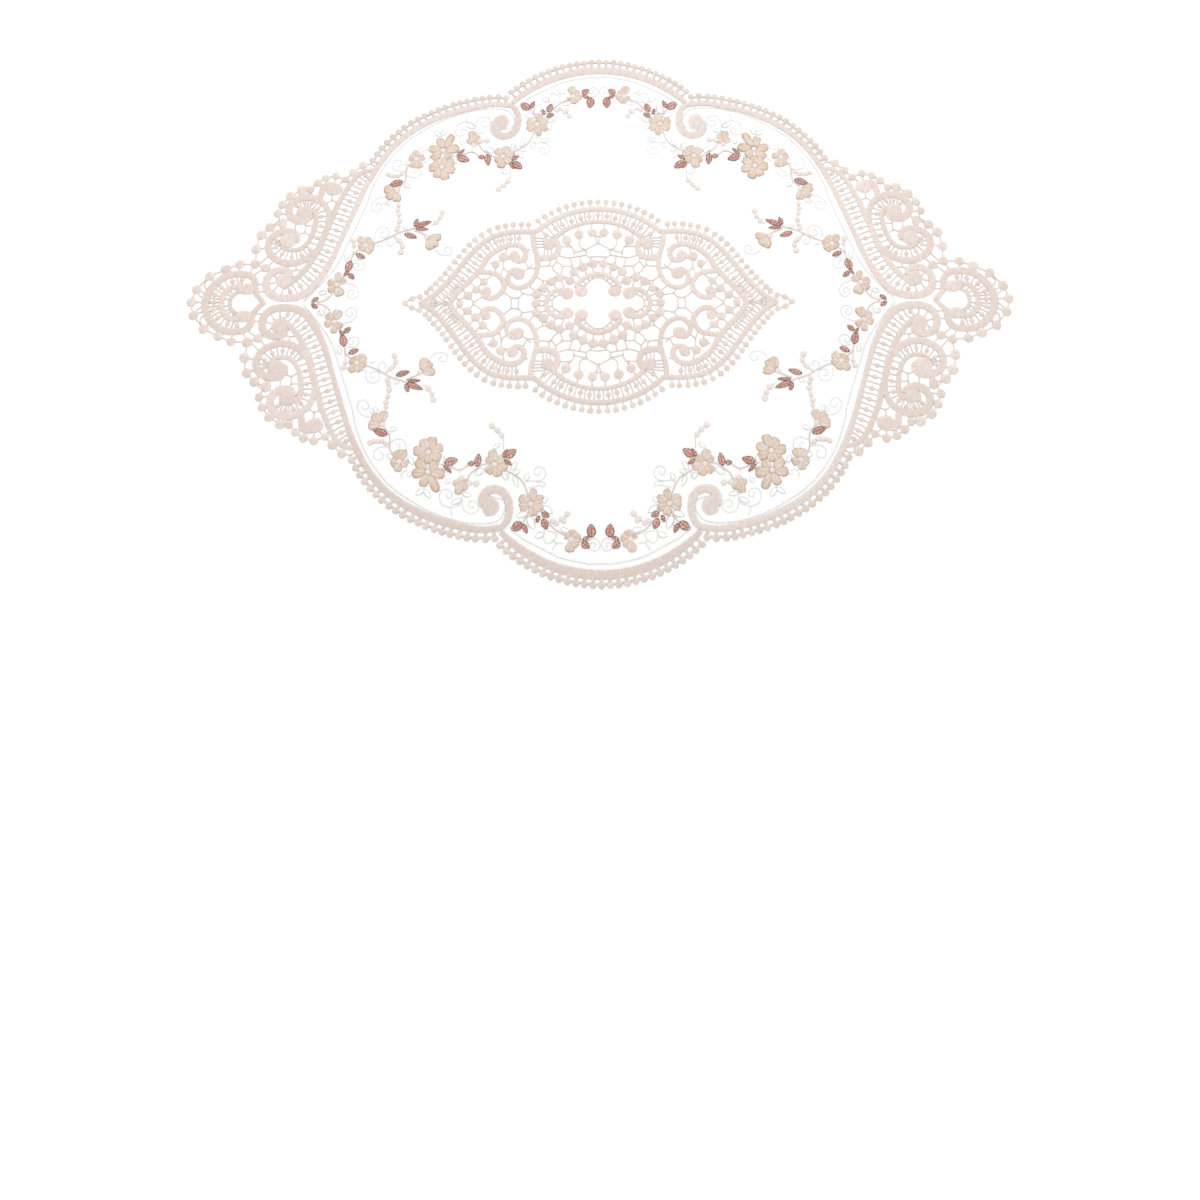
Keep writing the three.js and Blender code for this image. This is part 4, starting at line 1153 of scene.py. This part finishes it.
class PlacematColours(PropertyGroup):
    """Colours of the threads and the cloth"""
    satin_top: FloatVectorProperty(
        name="Satin tops", description="Rim along its top", subtype="COLOR",
        default=(0.56, 0.475, 0.43), min=0, max=1)
    # Pale end of the satin's thread tone, and painted light: the satin material paints the rim's low
    # sides, dot edges and thread undersides in this paler colour against their shade
    satin_pale_and_painted_light: FloatVectorProperty(
        name="Satin sides", description="Rim down its sides, and its paler threads", subtype="COLOR",
        default=(0.80, 0.74, 0.715), min=0, max=1)
    lace_top: FloatVectorProperty(
        name="Lace tops", description="Lace along its top", subtype="COLOR",
        default=(0.593, 0.5, 0.448), min=0, max=1)
    # Pale end of the lace's thread tone, and painted light: the lace material paints the low sides, dot
    # edges and net thread undersides in this paler colour against their shade
    lace_pale_and_painted_light: FloatVectorProperty(
        name="Lace sides", description="Lace down its sides, and its paler threads", subtype="COLOR",
        default=(0.81, 0.75, 0.72), min=0, max=1)
    petal_pale: FloatVectorProperty(
        name="Petal feet", description="Petals round the flower's middle", subtype="COLOR",
        default=(0.655, 0.57, 0.52), min=0, max=1)
    petal_deep: FloatVectorProperty(
        name="Petal edges", description="Outer ends of the petals", subtype="COLOR",
        default=(0.50, 0.362, 0.25), min=0, max=1)
    leaf_pale: FloatVectorProperty(
        name="Leaf edges", description="Outer threads of the leaves", subtype="COLOR",
        default=(0.71, 0.45, 0.38), min=0, max=1)
    leaf_deep: FloatVectorProperty(
        name="Leaf veins", description="Leaves along the vein", subtype="COLOR",
        default=(0.34, 0.155, 0.12), min=0, max=1)
    stem_pale: FloatVectorProperty(
        name="Stem light strand", description="Lighter strand of the stems", subtype="COLOR",
        default=(0.74, 0.64, 0.60), min=0, max=1)
    stem_deep: FloatVectorProperty(
        name="Stem dark strand", description="Darker strand of the stems", subtype="COLOR",
        default=(0.60, 0.47, 0.43), min=0, max=1)
    bead: FloatVectorProperty(
        name="Beads", description="Beads of the sprigs and the flowers' middles", subtype="COLOR",
        default=(0.72, 0.64, 0.60), min=0, max=1)
    grey: FloatVectorProperty(
        name="Outline grey", description="Tendrils, outline stitches and the white leaves' edges",
        subtype="COLOR", default=(0.73, 0.715, 0.725), min=0, max=1)
    cloth: FloatVectorProperty(
        name="Cloth", description="Sheer ground and the white leaves", subtype="COLOR",
        default=(0.90, 0.90, 0.89), min=0, max=1)
    cloth_cover: FloatProperty(
        name="Cloth cover", description="How much of the ground its threads cover",
        default=0.42, min=0, max=1)


def sizes():
    return bpy.context.scene.placemat_sizes


def colours():
    return bpy.context.scene.placemat_colours


class PLACEMAT_OT_ground(Operator):
    """Cuts the sheer ground to the middle of its rim, with a hole for the medallion"""
    bl_idname = "placemat.ground"
    bl_label = "Sheer ground"

    def execute(self, context):
        deselect_all()
        halves = []
        for side in (1, -1):
            bpy.ops.mesh.primitive_grid_add(
                x_subdivisions=GROUND_COLUMNS, y_subdivisions=GROUND_ROWS, size=2)
            half = bpy.context.object
            self.shape_half(half.data, side)
            halves.append(half)
        for half in halves:
            half.select_set(True)
        bpy.ops.object.join()
        ground = bpy.context.object
        ground.name = "sheer_cloth"
        bpy.ops.object.mode_set(mode="EDIT")
        bpy.ops.mesh.select_all(action="SELECT")
        bpy.ops.mesh.remove_doubles(threshold=GROUND_MERGE * MM)
        bpy.ops.object.mode_set(mode="OBJECT")
        self.lay_threads(ground.data)
        bpy.ops.object.shade_smooth()
        ground.data.materials.clear()
        ground.data.materials.append(sheer_material(colours().cloth, colours().cloth_cover))
        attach(ground, "root")
        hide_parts("sheer_ground")
        return {"FINISHED"}

    def shape_half(self, mesh, side):
        """Moves a grid from -1 to 1 so that it fills one half of the ground."""
        across, along = ground_limits()
        for vertex in mesh.vertices:
            x = GROUND_HALF_LENGTH * vertex.co.x
            share = (side * vertex.co.y + 1) / 2
            low = np.interp(abs(x), *across)
            high = np.interp(abs(x), *along)
            place = settle((x, side * (low + share * (high - low))))
            lift = 0.07 * math.sin(0.09 * x + 0.05 * place[1])
            lift += 0.05 * math.sin(0.17 * place[1] - 0.06 * x)
            vertex.co = Vector((place[0], place[1], CLOTH_LEVEL + lift)) * MM

    def lay_threads(self, mesh):
        """Runs the weave's threads along X and Y."""
        while mesh.uv_layers:
            mesh.uv_layers.remove(mesh.uv_layers[0])
        layer = mesh.uv_layers.new(name=UV_STITCH)
        for loop in mesh.loops:
            place = mesh.vertices[loop.vertex_index].co / MM
            layer.uv[loop.index].vector = (place.x, place.y)


def ground_limits():
    """Where the ground starts and ends on each side of the X axis, as (x, y) rows."""
    lobe, side = medallion_outline()
    inner = np.vstack([lobe[lobe[:, 0] < side[0, 0]], side, [[GROUND_HALF_LENGTH, 0]]])
    rim = arc(LOBE_CENTRE_Y, LOBE_RADIUS, 0, LOBE_END_ANGLE, 1)
    outer = np.vstack([rim, smooth_line(EDGE_BAND, 1)])
    return inner.T, outer.T


class PLACEMAT_OT_rims(Operator):
    """Sews the satin rim: a long lobe on each long side, and four corners that curl"""
    bl_idname = "placemat.rims"
    bl_label = "Satin rim"

    def execute(self, context):
        dot = model_dot()
        self.height = sizes().rim_height / MM
        for number, side in enumerate((1, -1)):
            self.lobe(dot, side, 20 + number)
        for number, quarter in enumerate(ALL_QUARTERS):
            self.corner(dot, quarter, 30 + number)
        return {"FINISHED"}

    def lobe(self, dot, side, seed):
        work = Needlework(seed)
        radius = LOBE_RADIUS if side > 0 else NEAR_LOBE_RADIUS
        middle = arc(LOBE_CENTRE_Y, radius, -LOBE_END_ANGLE, LOBE_END_ANGLE, 1)
        work.band(middle * (1, side), LOBE_WIDTHS, self.height)
        centre = np.array([0, LOBE_CENTRE_Y * side])
        angles = np.radians(np.arange(-LOBE_PICOTS_A_SIDE, LOBE_PICOTS_A_SIDE + 1) * LOBE_PICOT_STEP)
        outs = np.column_stack([np.sin(angles), np.cos(angles) * side])
        self.picots(work, dot, centre + outs * radius, outs, LOBE_PICOT_RADIUS - radius)
        word = "far" if side > 0 else "near"
        work.finish(f"satin_lobe_{word}", satin_material(), [f"rim_lobe_{word}"])

    def corner(self, dot, quarter, seed):
        work = Needlework(seed)
        edge = smooth_line(EDGE_BAND)
        work.band(part_of_line(edge, 0, RIM_SHARE) * quarter, CORNER_WIDTHS, self.height)
        work.band(np.array(CURL_BAND) * quarter, CURL_WIDTHS, self.height + CURL_RISE)
        for x, y, half_length, half_height in CURL_DISCS:
            spot = np.array([x, y]) * quarter
            work.dot(dot, *spot, half_length, half_height, self.height + DISC_RISE)
        start, end = (share * len(edge) for share in CORNER_PICOT_SHARES)
        places = np.linspace(start, end, CORNER_PICOTS).astype(int)
        outs = sideways(directions(edge))[places] * quarter
        self.picots(work, dot, edge[places] * quarter, outs, CORNER_PICOT_OFFSET)
        across = "right" if quarter[0] > 0 else "left"
        along = "far" if quarter[1] > 0 else "near"
        words = f"corner_{along}_{across}"
        work.finish(f"satin_{words}", satin_material(), [f"rim_{words}"])

    def picots(self, work, dot, ties, outs, reach):
        """A row of small padded balls, each tied to the rim and to the next one."""
        balls = ties + outs * reach
        for tied, out, ball in zip(ties, outs, balls):
            work.thread([tied + out, ball], PICOT_BAR, PICOT_LEVEL, **PICOT_THREAD)
            size = PICOT_RADIUS + work.chance.uniform(-PICOT_WANDER, PICOT_WANDER)
            turn = math.atan2(out[1], out[0])
            work.dot(dot, *ball, size, size, self.height + PICOT_RISE, turn=turn)
        inside = balls - outs * PICOT_LINK_INSET
        for here, after in zip(inside, inside[1:]):
            work.thread([here, after], PICOT_LINK, PICOT_LEVEL, **PICOT_THREAD)


class PLACEMAT_OT_lace_ends(Operator):
    """Works the openwork lace of the two pointed ends"""
    bl_idname = "placemat.lace_ends"
    bl_label = "Lace ends"

    def execute(self, context):
        dot = model_dot()
        self.height = sizes().lace_height / MM
        self.ball = sizes().ball_height / MM
        for word, quarters, seed in (("right", RIGHT_QUARTERS, 40), ("left", LEFT_QUARTERS, 41)):
            work = Needlework(seed)
            self.bands(work, quarters)
            self.dots(work, dot, quarters)
            self.threads(work, quarters)
            work.finish(f"openwork_end_{word}", lace_material(), [f"lace_end_{word}"])
        return {"FINISHED"}

    def edge_line(self):
        """The line beside the ground, from the rim's corner and on round the small scroll."""
        edge = part_of_line(smooth_line(EDGE_BAND), RIM_SHARE - RIM_OVERLAP, 1)
        return np.vstack([edge, smooth_line(SMALL_SCROLL)[1:]])

    def bands(self, work, quarters):
        for line in lines_in(self.edge_line(), quarters):
            work.band(line, END_EDGE_WIDTHS, self.height - EDGE_DROP)
        for points, widths in END_BANDS:
            for line in lines_in(points, quarters):
                whole = widths + widths[::-1] if abs(points[-1][1]) < ON_AXIS else widths
                work.band(line, whole, self.height - CROSSING_DROP)

    def dots(self, work, dot, quarters):
        for x, y, half_length, half_height in END_DISCS:
            for spot in spots_in(x, y, quarters):
                work.dot(dot, *spot, half_length, half_height, self.height + DISC_RISE)
        for x, y, radius in END_BALLS:
            for spot in spots_in(x, y, quarters):
                work.ball(dot, *spot, radius, self.ball, END_BALL_ROUNDNESS)
        for dots, radius in LADDER_DOTS:
            for x, y in dots:
                for spot in spots_in(x, y, quarters):
                    turn = work.chance.uniform(0, BALL_TURN)
                    work.dot(dot, *spot, radius, radius, self.height, turn=turn)

    def threads(self, work, quarters):
        radius = sizes().net_thread / MM / 2
        lines = [smooth_line(points) for points, _ in END_BANDS]
        long_band, upper_scroll, _, link, lower_scroll, horseshoe, arch, inner_arch, _ = lines
        edges = [disc_edge(disc) for disc in END_DISCS]
        _, upper_core, lower_core, small_core, _, _, tip_disc, _ = edges
        rail = self.edge_line()
        outside = np.vstack([long_band, upper_scroll, lower_scroll])
        inside = np.vstack([link, upper_core, lower_core])
        bars = ladder_bars(FIRST_LADDER, rail, np.vstack([long_band, small_core]))
        bars += ladder_bars(SECOND_LADDER, outside, inside)
        bars += ladder_bars(HORSESHOE_LADDER, horseshoe, np.vstack([arch, tip_disc]))
        small_scroll = rail[-SMALL_SCROLL_POINTS:]
        bars += [bar_across(spot, small_scroll, small_core) for spot in SMALL_SCROLL_SPOKES]
        bars += [bar_across(spot, arch, inner_arch) for spot in TIP_SPOKES]
        for bar in bars:
            for line in lines_in(bar, quarters):
                work.thread(line, radius * BAR_SHARE, NET_LEVEL)
        for points in END_NET:
            for line in lines_in(points, quarters):
                work.thread(line, radius, NET_LEVEL)


class PLACEMAT_OT_medallion(Operator):
    """Works the openwork medallion that is let into the middle"""
    bl_idname = "placemat.medallion"
    bl_label = "Medallion"

    def execute(self, context):
        dot = model_dot()
        work = Needlework(50)
        self.height = sizes().lace_height / MM
        self.bands(work)
        self.picots(work, dot)
        self.dots(work, dot)
        self.threads(work)
        work.finish("openwork_medallion", lace_material(), ["medallion"])
        return {"FINISHED"}

    def bands(self, work):
        lobe, side = medallion_outline()
        for points in (lobe, side):
            for line in lines_in(points, ALL_QUARTERS):
                work.band(line, (MEDALLION_HALF_WIDTH,) * 2, self.height)
        for points, widths in MEDALLION_BANDS:
            whole = widths
            if abs(points[-1][1]) < ON_AXIS:
                whole = whole + widths[::-1]
            if abs(points[0][0]) < ON_AXIS:
                whole = widths[::-1] + whole
            for line in lines_in(points, ALL_QUARTERS):
                work.band(line, whole, self.height - CROSSING_DROP)

    def picots(self, work, dot):
        side = medallion_outline()[1]
        angles = np.arange(MEDALLION_LOBE_PICOTS_A_SIDE + 1) * MEDALLION_LOBE_PICOT_STEP
        ties = [arc(MEDALLION_LOBE_CENTRE_Y, MEDALLION_LOBE_RADIUS, a, a, 1)[0] for a in angles]
        outs = [np.array([math.sin(math.radians(a)), math.cos(math.radians(a))]) for a in angles]
        ahead = sideways(directions(side))
        before, after = MEDALLION_SIDE_FREE
        for place in np.linspace(before, len(side) - after, MEDALLION_SIDE_PICOTS).astype(int):
            ties.append(side[place])
            from_point = min(1, (len(side) - place) / MEDALLION_POINT_STRETCH)
            outs.append(ahead[place] * (1 - MEDALLION_POINT_NEARNESS * (1 - from_point)))
        bars = [(tied, tied + out * MEDALLION_PICOT_OFFSET) for tied, out in zip(ties, outs)]
        for tied, ball in bars + list(MEDALLION_POINT_PICOTS):
            for line in lines_in([tied, ball], ALL_QUARTERS):
                work.thread(line, MEDALLION_PICOT_BAR, NET_LEVEL)
            for spot in spots_in(*ball, ALL_QUARTERS):
                size = MEDALLION_PICOT_RADIUS * work.chance.uniform(0.94, 1.06)
                work.dot(dot, *spot, size, size, self.height)

    def dots(self, work, dot):
        for x, y, half_length, half_height in MEDALLION_DISCS:
            for spot in spots_in(x, y, ALL_QUARTERS):
                work.dot(dot, *spot, half_length, half_height, self.height + DISC_RISE)
        for x, y, radius in MEDALLION_BALLS:
            for spot in spots_in(x, y, ALL_QUARTERS):
                work.ball(dot, *spot, radius, self.height + DISC_RISE, MEDALLION_BALL_ROUNDNESS)
        for x, y in MEDALLION_TOP_LADDER + MEDALLION_SIDE_LADDER:
            for spot in spots_in(x, y, ALL_QUARTERS):
                work.dot(dot, *spot, MEDALLION_LADDER_DOT, MEDALLION_LADDER_DOT, self.height)

    def threads(self, work):
        radius = sizes().net_thread / MM / 2
        lobe, side = medallion_outline()
        inner_lobe, inner_side = (smooth_line(MEDALLION_BANDS[row][0]) for row in (0, 3))
        bars = ladder_bars(MEDALLION_TOP_LADDER, lobe, inner_lobe)
        bars += ladder_bars(MEDALLION_SIDE_LADDER, side, inner_side)
        for bar in bars:
            for line in lines_in(bar, ALL_QUARTERS):
                work.thread(line, radius * BAR_SHARE, NET_LEVEL)
        for points in MEDALLION_NET:
            for line in lines_in(points, ALL_QUARTERS):
                work.thread(line, radius, NET_LEVEL)


class PLACEMAT_OT_outline(Operator):
    """Stitches the grey outline inside the rim"""
    bl_idname = "placemat.outline"
    bl_label = "Outline stitch"

    def execute(self, context):
        work = Needlework(60)
        for design in (LOBE_OUTLINE, CORNER_OUTLINE):
            for line in lines_in(design, ALL_QUARTERS):
                for stitch in dashes(line, *OUTLINE_STITCH):
                    work.thread(stitch, OUTLINE_RADIUS, STITCH_LEVEL, step=0.75, sides=5)
        work.finish("outline_stitch", grey_material())
        return {"FINISHED"}


class PLACEMAT_OT_flowers(Operator):
    """Embroiders the flowers in satin stitch"""
    bl_idname = "placemat.flowers"
    bl_label = "Flowers"

    def execute(self, context):
        work = Needlework(70)
        dot = model_dot()
        height = sizes().petal_height / MM
        for quarter in ALL_QUARTERS:
            for middle, petals in FLOWERS:
                middle = np.array(middle) * quarter
                for x, y, half_width in petals:
                    tip = np.array([x, y]) * quarter
                    foot = middle + PETAL_FOOT * (tip - middle) / np.linalg.norm(tip - middle)
                    raised = height + work.chance.uniform(*PETAL_RAISE)
                    work.petal(foot, tip, half_width, raised, work.chance.uniform(*PETAL_POINT))
        work.finish("flower_petals", petal_material())
        middles = Needlework(71)
        for quarter in ALL_QUARTERS:
            for middle, _ in FLOWERS:
                spot = np.array(middle) * quarter
                middles.dot(dot, *spot, *FLOWER_MIDDLE, height - LOWER, low=STITCH_LOW)
        middles.finish("flower_middles", bead_material())
        return {"FINISHED"}


class PLACEMAT_OT_leaves(Operator):
    """Embroiders the leaves, their outlines and veins, and the white leaves"""
    bl_idname = "placemat.leaves"
    bl_label = "Leaves"

    def execute(self, context):
        rose = Needlework(80)
        veins = Needlework(81)
        white = Needlework(82)
        edges = Needlework(83)
        height = sizes().leaf_height / MM
        for quarter in ALL_QUARTERS:
            for leaf in LEAVES:
                foot, tip = np.array(leaf[:2]) * quarter, np.array(leaf[2:4]) * quarter
                foot = foot + LEAF_GAP * (tip - foot)
                half_width = leaf[4] - LEAF_INSET
                rose.leaf(foot, tip, half_width, height)
                for stitch in dashes(leaf_outline(foot, tip, half_width), *LEAF_EDGE_STITCH):
                    veins.thread(stitch, LEAF_EDGE_RADIUS, STITCH_LEVEL + LEAF_EDGE_RISE, **FINE_THREAD)
                for stitch in dashes([foot, foot + VEIN_SHARE * (tip - foot)], *VEIN_STITCH):
                    veins.thread(stitch, VEIN_RADIUS, height - LOWER, **FINE_THREAD)
            for leaf in WHITE_LEAVES:
                foot, tip = np.array(leaf[:2]) * quarter, np.array(leaf[2:4]) * quarter
                white.leaf(foot, tip, leaf[4], height - LOWER)
                edge = leaf_outline(foot, tip, leaf[4] + WHITE_EDGE_OFFSET)
                edges.thread(edge, WHITE_EDGE_RADIUS, STITCH_LEVEL, step=1.0, sides=5)
        rose.finish("rose_leaves", leaf_material())
        veins.finish("leaf_veins", vein_material())
        white.finish("white_leaves", white_material())
        edges.finish("white_leaf_outlines", grey_material())
        return {"FINISHED"}


class PLACEMAT_OT_stems(Operator):
    """Embroiders the two-strand stems, the fine tendrils and the beaded sprigs"""
    bl_idname = "placemat.stems"
    bl_label = "Stems and tendrils"

    def execute(self, context):
        dark = Needlework(90)
        light = Needlework(91)
        tendrils = Needlework(92)
        beads = Needlework(93)
        dot = model_dot()
        radius = sizes().tendril / MM / 2
        for points in STEMS:
            for line in lines_in(points, ALL_QUARTERS):
                path = smooth_line(line, 0.8)
                dark.thread(on_side(path, STRAND_OFFSET), STRAND_RADIUS, STITCH_LEVEL, step=0.8)
                light.thread(on_side(path, -STRAND_OFFSET), STRAND_RADIUS, STITCH_LEVEL, step=0.8)
        for points in TENDRILS:
            for line in lines_in(points, ALL_QUARTERS):
                tendrils.thread(line, radius, STITCH_LEVEL, **FINE_THREAD)
        for points, places in SPRIGS:
            for line in lines_in(points, ALL_QUARTERS):
                beads.thread(line, radius * SPRIG_SHARE, STITCH_LEVEL, **FINE_THREAD)
            for x, y, bead in places:
                half_sizes = (bead, bead * BEAD_ROUNDNESS)
                for spot in spots_in(x, y, ALL_QUARTERS):
                    turn = beads.chance.uniform(0, BALL_TURN)
                    beads.dot(dot, *spot, *half_sizes, BEAD_HEIGHT, low=STITCH_LOW, turn=turn)
        dark.finish("stem_dark_strand", stem_material())
        light.finish("stem_light_strand", stem_light_material())
        tendrils.finish("tendrils", grey_material())
        beads.finish("beaded_sprigs", bead_material())
        return {"FINISHED"}


def petal_material():
    deep, pale = colours().petal_deep, colours().petal_pale
    return thread_material("petal_peach_thread", deep, pale, pitch=1.0, crest=-0.4, tone=3.2, shade=0.3)


def leaf_material():
    deep, pale = colours().leaf_deep, colours().leaf_pale
    return thread_material("leaf_rose_thread", deep, pale, pitch=0.9, crest=0.5, tone=3.2)


def vein_material():
    deep = colours().leaf_deep
    # The darker of the two is the vein thread's deeper tone and also painted shade on its underside
    return thread_material("vein_brown_thread", darker(deep, 0.6), darker(deep, 0.85))


def white_material():
    pale = colours().cloth
    return thread_material("white_leaf_thread", darker(pale, 0.94), pale, pitch=0.4)


def grey_material():
    pale = colours().grey
    # The darker copy is the grey thread's deeper tone and also painted shade on its underside
    return thread_material("outline_grey_thread", darker(pale, 0.85), pale)


def stem_material():
    pale = colours().stem_deep
    # The darker copy is the strand's deeper tone and also painted shade on its underside
    return thread_material("stem_brown_thread", darker(pale, 0.8), pale)


def stem_light_material():
    pale = colours().stem_pale
    # The darker copy is the strand's deeper tone and also painted shade on its underside
    return thread_material("stem_taupe_thread", darker(pale, 0.85), pale)


def bead_material():
    pale = colours().bead
    # The darker copy is the beads' deeper tone and also painted shade on the edges of the beads and
    # flower middles and on the sprig thread's underside
    return thread_material("bead_pink_thread", darker(pale, 0.85), pale, pitch=0.4)


class PLACEMAT_OT_stage(Operator):
    """Sets the pale floor, the soft light and the camera"""
    bl_idname = "placemat.stage"
    bl_label = "Stage"

    def execute(self, context):
        scene = context.scene
        deselect_all()
        bpy.ops.mesh.primitive_plane_add(size=FLOOR_SIZE)
        floor = context.object
        floor.name = "studio_floor"
        material, shader = new_material("studio_floor_white", 0.9)
        shader.inputs["Base Color"].default_value = (FLOOR_WHITE, FLOOR_WHITE, FLOOR_WHITE, 1)
        shader.inputs["Specular IOR Level"].default_value = 0.1
        floor.data.materials.append(material)
        world = bpy.data.worlds.new("soft_room")
        world.use_nodes = True
        backdrop = world.node_tree.nodes["Background"]
        backdrop.inputs["Color"].default_value = (1, 1, 1, 1)
        backdrop.inputs["Strength"].default_value = WORLD_STRENGTH
        scene.world = world
        self.soft_light("far_soft_light", FAR_LIGHT_PLACE, FAR_LIGHT_SIZE, FAR_LIGHT_POWER)
        self.camera(scene)
        scene.view_settings.view_transform = "Standard"
        return {"FINISHED"}

    def soft_light(self, name, place, size, power):
        lamp = bpy.data.lights.new(name, "AREA")
        lamp.size = size
        lamp.energy = power
        light = bpy.data.objects.new(name, lamp)
        light.location = place
        light.rotation_euler = Vector(place).to_track_quat("Z", "Y").to_euler()
        bpy.context.scene.collection.objects.link(light)

    def camera(self, scene):
        lens = bpy.data.cameras.new("camera")
        lens.lens = CAMERA_LENS
        lens.sensor_width = CAMERA_SENSOR
        lens.shift_x, lens.shift_y = CAMERA_SHIFT
        lens.clip_start = 0.01
        camera = bpy.data.objects.new("camera", lens)
        tilt = Matrix.Rotation(math.radians(CAMERA_TILT), 4, "X")
        roll = Matrix.Rotation(math.radians(CAMERA_ROLL), 4, "Z")
        camera.matrix_world = Matrix.Translation(CAMERA_PLACE) @ tilt @ roll
        scene.collection.objects.link(camera)
        scene.camera = camera


class PLACEMAT_PT_sidebar(Panel):
    """Builds the placemat piece by piece"""
    bl_idname = "PLACEMAT_PT_sidebar"
    bl_label = "Lace placemat"
    bl_space_type = "VIEW_3D"
    bl_region_type = "UI"
    bl_category = "Placemat"

    def draw(self, context):
        layout = self.layout
        for group in (context.scene.placemat_sizes, context.scene.placemat_colours):
            column = layout.column(align=True)
            for name in group.__annotations__:
                column.prop(group, name)
        for operator in BUILD_ORDER:
            layout.operator(operator.bl_idname)


BUILD_ORDER = (
    PLACEMAT_OT_ground,
    PLACEMAT_OT_rims,
    PLACEMAT_OT_lace_ends,
    PLACEMAT_OT_medallion,
    PLACEMAT_OT_outline,
    PLACEMAT_OT_flowers,
    PLACEMAT_OT_leaves,
    PLACEMAT_OT_stems,
    PLACEMAT_OT_stage,
)
CLASSES = (PlacematSizes, PlacematColours) + BUILD_ORDER + (PLACEMAT_PT_sidebar,)


def register():
    for cls in CLASSES:
        bpy.utils.register_class(cls)
    bpy.types.Scene.placemat_sizes = PointerProperty(type=PlacematSizes)
    bpy.types.Scene.placemat_colours = PointerProperty(type=PlacematColours)


def unregister():
    del bpy.types.Scene.placemat_colours
    del bpy.types.Scene.placemat_sizes
    for cls in reversed(CLASSES):
        bpy.utils.unregister_class(cls)


def main():
    register()
    bpy.ops.placemat.ground()
    bpy.ops.placemat.rims()
    bpy.ops.placemat.lace_ends()
    bpy.ops.placemat.medallion()
    bpy.ops.placemat.outline()
    bpy.ops.placemat.flowers()
    bpy.ops.placemat.leaves()
    bpy.ops.placemat.stems()
    bpy.ops.placemat.stage()


if __name__ == "__main__":
    main()
